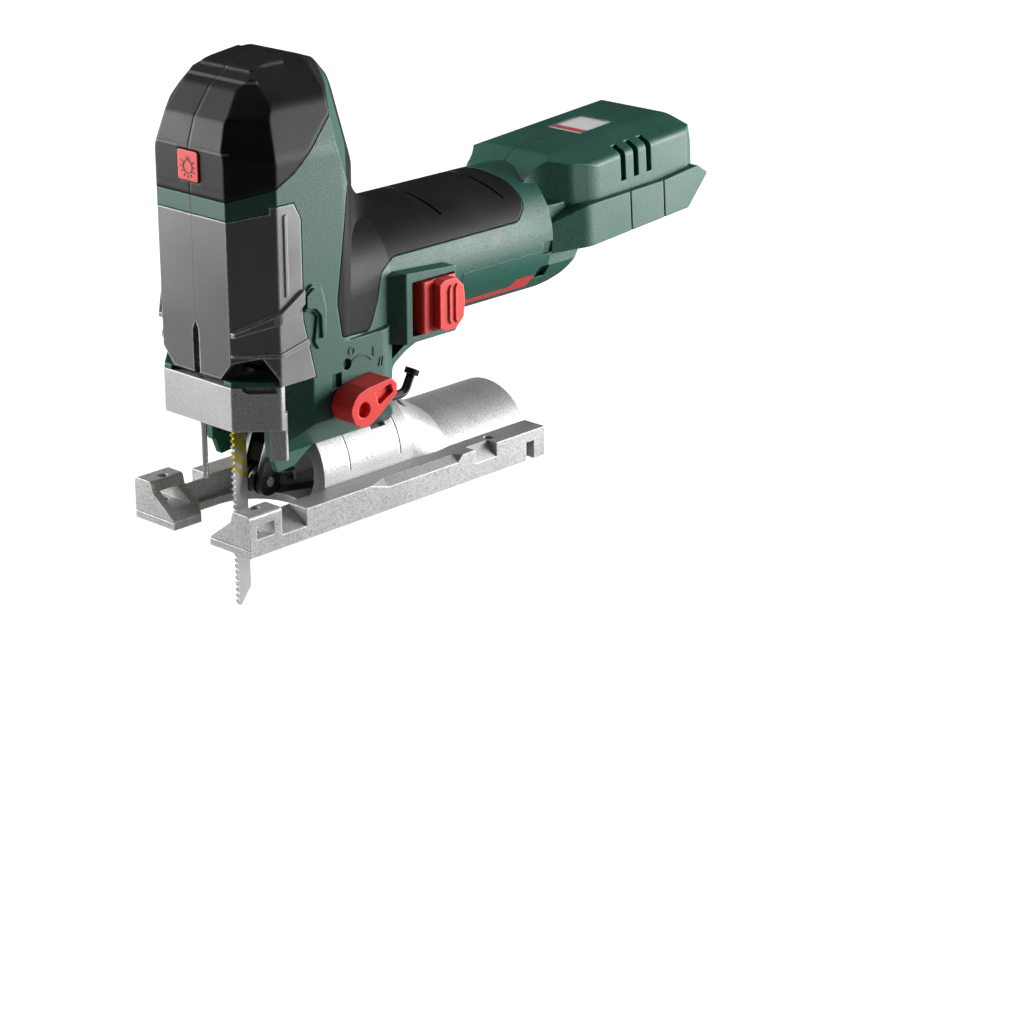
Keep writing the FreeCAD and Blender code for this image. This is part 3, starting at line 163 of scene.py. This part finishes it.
def finish(name, low, high, edge, rough, metal=0.0, specular=0.5, coat=0.0, grain=0.9, depth=0.02, soft=0.4,
           rub_and_glint=0.5, speckle=0.2, shade=0.8):
    """A grained surface. Its colour drifts from low to high in patches, and edge is laid along its edges, as
    rubbed wear and, on the clear cover, as a painted highlight.

    Grain size, grain depth and the soft corner's radius are in mm; the edge colour's strength, speckle and
    shade are strengths, shade being the painted shade in gaps and inner corners.
    """
    pit_dark, gap_shade_dark = 0.3, 0.08
    gap_shade_reach = 2.2 * mm
    gloss_drift, pit_gloss = 0.04, 0.06
    made = bpy.data.materials.new(name)
    made.use_nodes = True
    tree = made.node_tree
    surface = tree.nodes["Principled BSDF"]
    surface.inputs["Metallic"].default_value = metal
    surface.inputs["Coat Weight"].default_value = coat
    surface.inputs["Specular IOR Level"].default_value = specular
    surface.inputs["Base Color"].default_value = (*low, 1)
    texture = use(tree, fine_grain, Size=grain)
    over(made, texture["Patches"], high)
    over(made, texture["Speckle"], [part * pit_dark for part in low], speckle)
    # The edge colour is rubbed wear on most finishes and a painted highlight along the clear cover's edges.
    over(made, use(tree, edge_wear_and_highlight, Reach=soft * 2 * mm, Amount=rub_and_glint)["Mask"], edge)
    # Painted shade: the colour is darkened in gaps and inner corners, where little light reaches.
    gap_shade_mask = use(tree, gap_shade, Distance=gap_shade_reach)["Mask"]
    over(made, gap_shade_mask, [part * gap_shade_dark for part in low], shade)
    gloss = number(tree, "ADD",
                   ramp(tree, texture["Patches"], 0, 1, rough - gloss_drift, rough + gloss_drift),
                   number(tree, "MULTIPLY", texture["Speckle"], pit_gloss))
    tree.links.new(gloss, surface.inputs["Roughness"])
    corner = tree.nodes.new("ShaderNodeBevel")
    corner.samples = 6
    corner.inputs["Radius"].default_value = soft * mm
    bump = tree.nodes.new("ShaderNodeBump")
    bump.inputs["Strength"].default_value = 0.6
    bump.inputs["Distance"].default_value = depth * mm
    tree.links.new(texture["Height"], bump.inputs["Height"])
    tree.links.new(corner.outputs[0], bump.inputs["Normal"])
    tree.links.new(bump.outputs["Normal"], surface.inputs["Normal"])
    return made


def dress(material, *names):
    """Gives CAD nodes their finish."""
    for name in names:
        for slot in nodes[name].material_slots:
            slot.material = material


blasted_aluminium = finish("blasted_aluminium", (0.50, 0.50, 0.49), (0.58, 0.58, 0.57), (0.86, 0.86, 0.85),
                           0.5, metal=0.5, grain=0.45, depth=0.12, soft=0.5, rub_and_glint=0.9, speckle=0.7, shade=0.7)
dress(blasted_aluminium, "base_plate")

# ------------------------------------------------------------------ swivel saddle
# The same cast aluminium, arched over the base, with its dust spout at the rear. It guides the body
# as the bevel angle is set. Six bosses under it take black screws from below.
dress(blasted_aluminium, "swivel_saddle", "saddle_bosses")
black_oxide = finish("black_oxide", (0.012, 0.012, 0.013), (0.02, 0.02, 0.021), (0.25, 0.25, 0.25), 0.32,
                     metal=0.6, specular=0.8, grain=0.5, depth=0.01, soft=0.25, rub_and_glint=0.6)
dress(black_oxide, "saddle_screws")

# ------------------------------------------------------------------ bevel clamp
# A washer and a socket screw clamp the saddle at its bevel angle. The hex key for it is pushed
# into the rear of the body, with its short end turned up.
ground_steel = finish("ground_steel", (0.52, 0.52, 0.51), (0.62, 0.62, 0.61), (0.85, 0.85, 0.84), 0.24,
                      metal=1.0, grain=0.5, depth=0.01, soft=0.2, rub_and_glint=0.6, speckle=0.15)
dress(ground_steel, "clamp_washer")
dress(black_oxide, "clamp_screw", "hex_key")

# ------------------------------------------------------------------ housing shells
# Two half shells of dark green glass-filled nylon with the coarse spark-eroded grain of their
# mould, parted along the middle and held by five thread-forming screws.


def place(tree):
    """Object coordinates of the surface as x, y and z sockets, in metres."""
    split = tree.nodes.new("ShaderNodeSeparateXYZ")
    tree.links.new(tree.nodes.new("ShaderNodeTexCoord").outputs["Object"], split.inputs[0])
    return split.outputs


def within(tree, value, low, high, soft=0.06 * mm):
    """A mask that is 1 where a socket lies between two limits, with soft ends."""
    rise = ramp(tree, value, low - soft, low + soft)
    return number(tree, "MULTIPLY", rise, ramp(tree, value, high - soft, high + soft, 1.0, 0.0))


def parting_line(material, half_width=0.3 * mm, strength=0.9):
    """The dark line where two mirrored halves meet in the middle plane."""
    tree = material.node_tree
    over(material, within(tree, place(tree)["Y"], -half_width, half_width), (0.002, 0.002, 0.002), strength)


green_nylon = finish("green_nylon", (0.003, 0.092, 0.062), (0.006, 0.108, 0.075), (0.04, 0.20, 0.15), 0.5,
                     specular=0.6, grain=0.5, depth=0.2, soft=0.7, rub_and_glint=0.35, speckle=1.0)
parting_line(green_nylon, 0.42 * mm)
dress(green_nylon, "housing_left", "housing_right")
dress(black_oxide, "housing_screws")

# ------------------------------------------------------------------ head cap
# Black soft rubber moulded over the head in two halves. Shallow creases cross its front panel; their light is
# painted on as dark shade lines and pale highlight lines.
cap_rubber = finish("cap_rubber", (0.008, 0.008, 0.009), (0.012, 0.012, 0.013), (0.04, 0.04, 0.045), 0.46,
                    specular=0.2, grain=0.6, depth=0.04, soft=1.8, rub_and_glint=0.25, speckle=0.3, shade=0.6)
parting_line(cap_rubber)
cap_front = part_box("head_cap_left")[0].x
cap_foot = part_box("head_cap_left")[0].z
panel_half = 20.5 * mm
panel_rear = cap_front + 19 * mm
crease_shade, crease_highlight = (0.0, 0.0, 0.0), (0.12, 0.12, 0.12)
cap_tree = cap_rubber.node_tree
cap_place = place(cap_tree)
panel_width = within(cap_tree, cap_place["Y"], -panel_half, panel_half)
panel_depth = ramp(cap_tree, cap_place["X"], panel_rear, panel_rear + 0.2 * mm, 1.0, 0.0)
on_panel = number(cap_tree, "MULTIPLY", panel_width, panel_depth)
# Each crease is painted as a line: black for painted shade, pale grey for painted highlight, by turns.
for above_foot, half_width, colour in ((3.93, 0.6, crease_shade), (17.83, 0.45, crease_highlight),
                                       (29.63, 0.5, crease_shade), (41.83, 0.45, crease_highlight)):
    height = cap_foot + above_foot * mm
    line = within(cap_tree, cap_place["Z"], height - half_width * mm, height + half_width * mm)
    over(cap_rubber, number(cap_tree, "MULTIPLY", line, on_panel), colour, 0.95)
dress(cap_rubber, "head_cap_left", "head_cap_right")

# ------------------------------------------------------------------ grip
# The same soft rubber over the neck and the barrel, in two halves. It is a little matter and
# greyer than the cap.
grip_rubber = finish("grip_rubber", (0.009, 0.009, 0.010), (0.014, 0.014, 0.015), (0.03, 0.03, 0.034), 0.48,
                     specular=0.14, grain=0.6, depth=0.05, soft=0.9, rub_and_glint=0.25, speckle=0.35, shade=0.6)
parting_line(grip_rubber)
dress(grip_rubber, "grip_left", "grip_right")

# ------------------------------------------------------------------ chip cover
# One smoke-grey polycarbonate moulding over the blade zone, grained inside, with clear bright edges whose
# brightness is a painted highlight along them. It pulls off to the front.
# The pale edge colour, laid on strongly, paints a highlight along the cover's edges.
smoked_clear = finish("smoked_clear", (0.075, 0.075, 0.08), (0.09, 0.09, 0.095), (0.80, 0.80, 0.81), 0.32,
                      specular=1.0, grain=0.8, depth=0.03, soft=0.55, rub_and_glint=1.8, speckle=0.25, coat=0.6)
cover_low, cover_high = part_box("chip_cover")
seam_half = 0.2 * mm
seam_foot = cover_low.z + 22.2 * mm
wing_inner = cover_high.y - 2 * mm
cover_tree = smoked_clear.node_tree
cover_tree.nodes["Principled BSDF"].inputs["Transmission Weight"].default_value = 0.12
cover_place = place(cover_tree)
seam = number(cover_tree, "MULTIPLY", within(cover_tree, cover_place["Y"], -seam_half, seam_half),
              ramp(cover_tree, cover_place["Z"], seam_foot, seam_foot + 0.5 * mm))
over(smoked_clear, seam, (0.01, 0.01, 0.01), 0.8)
side_reach = number(cover_tree, "ABSOLUTE", cover_place["Y"])
wing = within(cover_tree, side_reach, wing_inner, cover_high.y + 5.4 * mm)
streaks = ramp(cover_tree, noise(cover_tree, 60.0, 1.0), 0.2, 0.7, 0.5, 1.0)
over(smoked_clear, number(cover_tree, "MULTIPLY", wing, streaks), (0.30, 0.30, 0.31), 0.8)
dress(smoked_clear, "chip_cover")

# ------------------------------------------------------------------ front guard
# A cast ring with one ribbed leg below the cover, and a steel rod in front of the blade.
dress(blasted_aluminium, "front_guard")
dress(ground_steel, "guard_rod")

# ------------------------------------------------------------------ work lamp
# A coral-red button on the cap presses a small board, which feeds a lamp aimed at the blade. The
# button carries a raised lamp sign: a globe with its socket and nine rays.
coral_red = finish("coral_red", (0.80, 0.026, 0.020), (0.86, 0.036, 0.028), (0.96, 0.22, 0.20), 0.42,
                   specular=0.5, grain=0.5, depth=0.02, soft=0.6, rub_and_glint=0.35, speckle=0.12)
dress(coral_red, "light_button")
sign_red = finish("sign_red", (0.10, 0.004, 0.004), (0.12, 0.006, 0.006), (0.3, 0.02, 0.02), 0.5, grain=0.4,
                  soft=0.05, rub_and_glint=0.2, speckle=0.1)


def bar(work, centre, size, turn=0.0, axis="X"):
    """Adds a small block, turned about its own centre."""
    stand = Matrix.Translation(centre) @ Matrix.Rotation(turn, 4, axis) @ Matrix.Diagonal((*size, 1))
    bmesh.ops.create_cube(work, size=1.0, matrix=stand)


def arc(work, centre, axis, first, turn, width, height, steps):
    """Spins a small rectangle about an axis; first points from the centre to its middle."""
    across = first.normalized() * width / 2
    along = axis * height / 2
    corners = []
    for a, b in ((-1, -1), (1, -1), (1, 1), (-1, 1)):
        corners.append(work.verts.new(centre + first + a * across + b * along))
    edges = [work.edges.new((corners[i], corners[i - 1])) for i in range(4)]
    whole = abs(turn) > 2 * math.pi - 0.001
    bmesh.ops.spin(work, geom=corners + edges, cent=centre, axis=axis, angle=turn, steps=steps,
                   use_merge=whole)
    if not whole:
        bmesh.ops.holes_fill(work, edges=[edge for edge in work.edges if edge.is_boundary], sides=4)


def new_piece(name, work, material, body):
    """Turns a finished bmesh into a piece that rides on a body."""
    bmesh.ops.recalc_face_normals(work, faces=work.faces)
    data = bpy.data.meshes.new(name)
    work.to_mesh(data)
    work.free()
    data.materials.append(material)
    piece = bpy.data.objects.new(name, data)
    bpy.context.scene.collection.objects.link(piece)
    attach(piece, body)


button_low, button_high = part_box("light_button")
button_middle = (button_low + button_high) / 2
sign_relief = 0.3 * mm
globe_radius, globe_line = 2.5 * mm, 0.45 * mm
socket_above, socket_width, socket_height = 3.2 * mm, 1.8 * mm, 1.1 * mm
ray_reach, ray_width, ray_length = 3.8 * mm, 0.4 * mm, 0.9 * mm
globe = Vector((button_low.x, button_middle.y, button_middle.z - 0.4 * mm))
sign = bmesh.new()
toward = Vector((1, 0, 0))
arc(sign, globe, toward, Vector((0, globe_radius, 0)), 2 * math.pi, globe_line, sign_relief, 40)
bar(sign, globe + Vector((0, 0, socket_above)), (sign_relief, socket_width, socket_height))
for turn in range(60, 301, 30):
    angle = math.radians(turn)
    ray = Vector((0, math.sin(angle), math.cos(angle)))
    bar(sign, globe + ray * ray_reach, (sign_relief, ray_width, ray_length), -angle)
new_piece("lamp_sign", sign, sign_red, "light_key")
circuit_board = finish("circuit_board", (0.006, 0.05, 0.02), (0.008, 0.06, 0.026), (0.3, 0.25, 0.1), 0.35,
                       grain=1.5, speckle=0.3, soft=0.1)
dress(circuit_board, "light_board")
lamp_lens = finish("lamp_lens", (0.75, 0.76, 0.72), (0.8, 0.8, 0.76), (0.9, 0.9, 0.9), 0.15, grain=0.6,
                   depth=0.01, soft=0.3, rub_and_glint=0.2, speckle=0.05, coat=0.5)
dress(lamp_lens, "work_lamp")

# ------------------------------------------------------------------ gearbox
# Die-cast alloy frame that carries the plunger, the gear axle and the pendulum, with a bearing
# plate of the same alloy behind it.
cast_alloy = finish("cast_alloy", (0.30, 0.30, 0.30), (0.38, 0.38, 0.38), (0.6, 0.6, 0.6), 0.48, metal=0.8,
                    grain=1.2, depth=0.06, soft=0.5, rub_and_glint=0.7, speckle=0.3)
dress(cast_alloy, "gearbox_frame", "bearing_plate", "fork_carrier")

# ------------------------------------------------------------------ plunger and blade clamp
# A ground steel plunger in two bronze bushes. Its lower end holds the blade in a blackened
# clamp, which a black plastic collar opens.
dress(ground_steel, "plunger")
bronze = finish("bronze", (0.42, 0.20, 0.07), (0.50, 0.25, 0.09), (0.75, 0.5, 0.25), 0.34, metal=1.0,
                grain=0.8, depth=0.02, soft=0.2, rub_and_glint=0.5, speckle=0.4)
dress(bronze, "plunger_bushes")
dress(black_oxide, "blade_clamp")
black_plastic = finish("black_plastic", (0.010, 0.010, 0.011), (0.014, 0.014, 0.015), (0.06, 0.06, 0.06),
                       0.36, specular=0.7, grain=0.6, depth=0.02, soft=0.3, rub_and_glint=0.4)
dress(black_plastic, "release_collar")

# ------------------------------------------------------------------ saw blade
# Stamped bright steel with milled teeth along its front edge. Yellow wood-cutting marks are
# printed across it in slanted bands above the teeth's middle.
blade_steel = finish("blade_steel", (0.72, 0.72, 0.72), (0.78, 0.78, 0.78), (0.92, 0.92, 0.92), 0.34,
                     metal=0.45, grain=0.4, depth=0.01, soft=0.08, rub_and_glint=0.4, speckle=0.2, shade=0.2)
blade_tree = blade_steel.node_tree
blade_place = place(blade_tree)
blade_low, blade_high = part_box("saw_blade")
band_slope = 0.8
lean = number(blade_tree, "MULTIPLY", blade_place["X"], band_slope)
slant = number(blade_tree, "ADD", blade_place["Z"], lean)
lowest_band = blade_low.z + 52.4 * mm + band_slope * blade_high.x
for low_edge, high_edge in ((0, 2.2), (4.0, 7.5), (9.5, 16.5)):
    stripe = within(blade_tree, slant, lowest_band + low_edge * mm, lowest_band + high_edge * mm)
    over(blade_steel, stripe, (0.80, 0.66, 0.03), 0.9)
dress(blade_steel, "saw_blade")

# ------------------------------------------------------------------ pendulum
# A blackened steel fork swings on a pin and pushes the grooved guide roller against the back of
# the blade. A black plastic rest with two prongs lies behind the roller.
glossy_black = finish("glossy_black", (0.006, 0.006, 0.007), (0.010, 0.010, 0.011), (0.12, 0.12, 0.12), 0.22,
                      metal=0.3, specular=0.9, grain=0.5, depth=0.01, soft=0.4, rub_and_glint=0.5, speckle=0.1)
dress(glossy_black, "pendulum_fork", "guide_roller")
dress(ground_steel, "fork_pin", "roller_pin")
dress(black_plastic, "fork_tail")

# ------------------------------------------------------------------ orbit knob
# A glossy red lever on a steel shaft, with four stops. Its scale stands proud of the left shell: a
# ring for none, one and two strokes for the steps, and a guide arc.
dress(coral_red, "orbit_knob")
dress(ground_steel, "knob_shaft")
shell_mesh = bmesh.new()
shell_mesh.from_mesh(nodes["housing_left"].data)
left_shell = BVHTree.FromBMesh(shell_mesh)
shell_mesh.free()


def on_left_shell(x, z, lift=0.0):
    """The point of the left shell that a look along +Y meets, lifted off it."""
    well_left = -100 * mm
    met, normal = left_shell.ray_cast(Vector((x, well_left, z)), Vector((0, 1, 0)))[:2]
    return met + normal * lift


shaft_low, shaft_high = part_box("knob_shaft")
hub_x = (shaft_low.x + shaft_high.x) / 2
hub_z = (shaft_low.z + shaft_high.z) / 2
scale_proud = 0.6 * mm
ring_radius, ring_line = 1.45 * mm, 0.55 * mm
one_stroke = (0.6 * mm, scale_proud, 3.8 * mm)
two_stroke = (0.5 * mm, scale_proud, 3.6 * mm)
two_apart, two_lean = 1.5 * mm, math.radians(12)
guide_start, guide_turn, guide_line = Vector((-5.1 * mm, 0, 5.4 * mm)), math.radians(97), 0.9 * mm
marks = bmesh.new()
outward = Vector((0, 1, 0))
none_mark = on_left_shell(hub_x + 4.2 * mm, hub_z + 19.9 * mm)
arc(marks, none_mark, outward, Vector((0, 0, ring_radius)), 2 * math.pi, ring_line, scale_proud, 28)
bar(marks, on_left_shell(hub_x + 15.9 * mm, hub_z + 17.2 * mm), one_stroke)
two_mark = on_left_shell(hub_x + 19.9 * mm, hub_z + 12.2 * mm)
for side in (-two_apart / 2, two_apart / 2):
    bar(marks, two_mark + Vector((side, 0, 0)), two_stroke, two_lean, "Y")
guide_middle = on_left_shell(hub_x + 8.8 * mm, hub_z + 9.7 * mm)
arc(marks, guide_middle, outward, guide_start, guide_turn, guide_line, scale_proud, 18)
dark_green = finish("dark_green", (0.002, 0.030, 0.020), (0.003, 0.036, 0.025), (0.02, 0.12, 0.08), 0.45,
                    specular=0.7, grain=0.7, soft=0.15, rub_and_glint=0.4)
new_piece("orbit_scale", marks, dark_green, "body")

# ------------------------------------------------------------------ motor
# Brushless motor: a laminated stator with six slots and the copper end turns of its coils, a magnet
# rotor on a steel shaft in two ball bearings, and a plastic fan.
laminated_steel = finish("laminated_steel", (0.22, 0.22, 0.22), (0.28, 0.28, 0.28), (0.5, 0.5, 0.5), 0.4,
                         metal=0.9, grain=0.6, soft=0.15, rub_and_glint=0.5)
sheet_pitch = 0.5 * mm
wire_pitch = 0.7 * mm


def fine_ridges(material, axis, pitch, colour, strength):
    """Dark lines at an even pitch along one axis, such as sheet edges or wound wires."""
    tree = material.node_tree
    turns = number(tree, "FRACT", number(tree, "DIVIDE", place(tree)[axis], pitch))
    over(material, within(tree, turns, 0.0, 0.3, 0.08), colour, strength)


fine_ridges(laminated_steel, "X", sheet_pitch, (0.05, 0.05, 0.05), 0.7)
dress(laminated_steel, "motor_stator")
copper_wire = finish("copper_wire", (0.50, 0.17, 0.06), (0.60, 0.22, 0.09), (0.8, 0.45, 0.25), 0.3, metal=1.0,
                     grain=0.8, soft=0.4, rub_and_glint=0.4)
fine_ridges(copper_wire, "X", wire_pitch, (0.12, 0.03, 0.01), 0.8)
dress(copper_wire, "motor_windings")
dress(ground_steel, "motor_rotor", "motor_bearings", "gear_axle", "crank_gear")
dress(black_plastic, "cooling_fan")

# ------------------------------------------------------------------ slide switch
# A ribbed red slider in its raised frame moves a flat rod, which trips the micro switch.
dress(coral_red, "switch_slider")
dress(black_plastic, "switch_rod", "micro_switch")

# ------------------------------------------------------------------ electronics
# The round controller board stands behind the motor, with its capacitors and transistors on it.
# The terminal block holds five tinned contact blades between the battery rails.
dress(circuit_board, "motor_controller")
dress(black_plastic, "terminal_block")
tinned_copper = finish("tinned_copper", (0.60, 0.45, 0.30), (0.66, 0.52, 0.36), (0.85, 0.8, 0.7), 0.25,
                       metal=1.0, grain=0.5, depth=0.01, soft=0.1, rub_and_glint=0.5)
dress(tinned_copper, "contact_blades")

# ------------------------------------------------------------------ label window
# A flat plate let into the top of the battery shoe. Its white film is blank but for a red bar.
white_film = finish("white_film", (0.88, 0.88, 0.87), (0.92, 0.92, 0.91), (0.95, 0.95, 0.95), 0.35,
                    specular=0.8, grain=0.6, depth=0.01, soft=0.2, rub_and_glint=0.2, speckle=0.08)
bar_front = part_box("label_window")[0].x + 2 * mm
bar_width = 4 * mm
film_tree = white_film.node_tree
over(white_film, within(film_tree, place(film_tree)["X"], bar_front, bar_front + bar_width),
     (0.62, 0.02, 0.02), 0.9)
dress(white_film, "label_window")

# ------------------------------------------------------------------ name plate
# A blank printed film in a shallow field on the left of the barrel, in the housing's green with a
# red stripe that widens towards the rear. It is glued on, so it follows the barrel's curve.
stator_low, stator_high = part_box("motor_stator")
barrel_axis = (stator_low.z + stator_high.z) / 2
plate_length, plate_height = 46 * mm, 16.5 * mm
plate_front = stator_high.x + 14 * mm
plate_bottom = barrel_axis - 21 * mm
glue_gap, film_thickness = 0.12 * mm, 0.2 * mm
film = bmesh.new()
bmesh.ops.create_grid(film, x_segments=46, y_segments=20, size=0.5,
                      matrix=Matrix.Diagonal((plate_length, plate_height, 1, 1)))
for corner in film.verts:
    x = corner.co.x + plate_front + plate_length / 2
    corner.co = on_left_shell(x, corner.co.y + plate_bottom + plate_height / 2, glue_gap)
bmesh.ops.solidify(film, geom=film.faces[:], thickness=film_thickness)
printed_film = finish("printed_film", (0.003, 0.088, 0.060), (0.006, 0.104, 0.072), (0.05, 0.2, 0.15), 0.42,
                      specular=0.6, grain=0.9, depth=0.03, soft=0.1, rub_and_glint=0.2, speckle=0.35)
narrow_end, wide_start = plate_front + 33 * mm, plate_front + 36 * mm
narrow_top, wide_top = plate_bottom + 2.4 * mm, plate_bottom + 5.6 * mm
print_tree = printed_film.node_tree
print_place = place(print_tree)
stripe_top = ramp(print_tree, print_place["X"], narrow_end, wide_start, narrow_top, wide_top)
above_stripe = number(print_tree, "SUBTRACT", print_place["Z"], stripe_top)
below = ramp(print_tree, above_stripe, -0.06 * mm, 0.06 * mm, 1.0, 0.0)
over(printed_film, below, (0.66, 0.03, 0.025), 0.95)
new_piece("name_film", film, printed_film, "body")

# ------------------------------------------------------------------ floor
# A pale matt floor, just below the blade's tip. Its own glow, which only the camera sees, keeps it
# pale where the lights don't reach.
floor_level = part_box("saw_blade")[0].z - 0.2 * mm
floor_mesh = bmesh.new()
bmesh.ops.create_grid(floor_mesh, x_segments=2, y_segments=2, size=6.0,
                      matrix=Matrix.Translation((0, 0, floor_level)))
floor_data = bpy.data.meshes.new("floor")
floor_mesh.to_mesh(floor_data)
floor_mesh.free()
floor = bpy.data.objects.new("floor", floor_data)
bpy.context.scene.collection.objects.link(floor)
pale = bpy.data.materials.new("pale_floor")
pale.use_nodes = True
matt = pale.node_tree.nodes["Principled BSDF"]
matt.inputs["Base Color"].default_value = (0.30, 0.30, 0.30, 1)
matt.inputs["Roughness"].default_value = 0.95
matt.inputs["Specular IOR Level"].default_value = 0.1
matt.inputs["Emission Color"].default_value = (1, 1, 1, 1)
floor_glow = 0.97
seen = pale.node_tree.nodes.new("ShaderNodeLightPath").outputs["Is Camera Ray"]
pale.node_tree.links.new(number(pale.node_tree, "MULTIPLY", seen, floor_glow),
                         matt.inputs["Emission Strength"])
floor_data.materials.append(pale)

# ------------------------------------------------------------------ lights
# One low soft box stands ahead of the saw on its right, so its front is lit from the side, and one
# behind it on its left lights that side. A large box high above fills in.


def soft_box(name, stand, target, width, height, power):
    """A rectangular studio light aimed at a point."""
    data = bpy.data.lights.new(name, "AREA")
    data.shape = "RECTANGLE"
    data.size = width
    data.size_y = height
    data.energy = power
    lamp = bpy.data.objects.new(name, data)
    bpy.context.scene.collection.objects.link(lamp)
    lamp.location = stand
    lamp.rotation_euler = (Vector(target) - Vector(stand)).to_track_quat("-Z", "Y").to_euler()


soft_box("front_box", (-0.50, 0.86, 0.28), (0.0, 0.0, 0.10), width=0.8, height=0.6, power=18)
soft_box("side_box", (0.86, -0.56, 0.17), (0.05, 0.0, 0.10), width=0.8, height=0.4, power=20)
soft_box("top_box", (0.2, 0.3, 1.7), (0.05, 0.0, 0.08), width=1.4, height=1.2, power=8)
dim_world, world_behind = 0.05, 1.0
world = bpy.data.worlds.new("studio")
world.use_nodes = True
background = world.node_tree.nodes["Background"]
background.inputs["Color"].default_value = (1, 1, 1, 1)
world_seen = world.node_tree.nodes.new("ShaderNodeLightPath").outputs["Is Camera Ray"]
world.node_tree.links.new(ramp(world.node_tree, world_seen, 0, 1, dim_world, world_behind),
                          background.inputs["Strength"])
bpy.context.scene.world = world
bpy.context.scene.view_settings.view_transform = "Standard"

# ------------------------------------------------------------------ camera
# A long lens from the front left, a little above the saw.
camera_data = bpy.data.cameras.new("camera")
camera_data.lens = 99.35
camera_data.sensor_width = 36.0
camera_data.clip_end = 20.0
camera = bpy.data.objects.new("camera", camera_data)
bpy.context.scene.collection.objects.link(camera)
sight = Vector((0.68236, 0.64078, -0.35184))
camera.location = (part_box("base_plate")[0].x - 0.6640, -0.7945, 0.3970)
camera.rotation_euler = sight.to_track_quat("-Z", "Y").to_euler()
bpy.context.scene.camera = camera
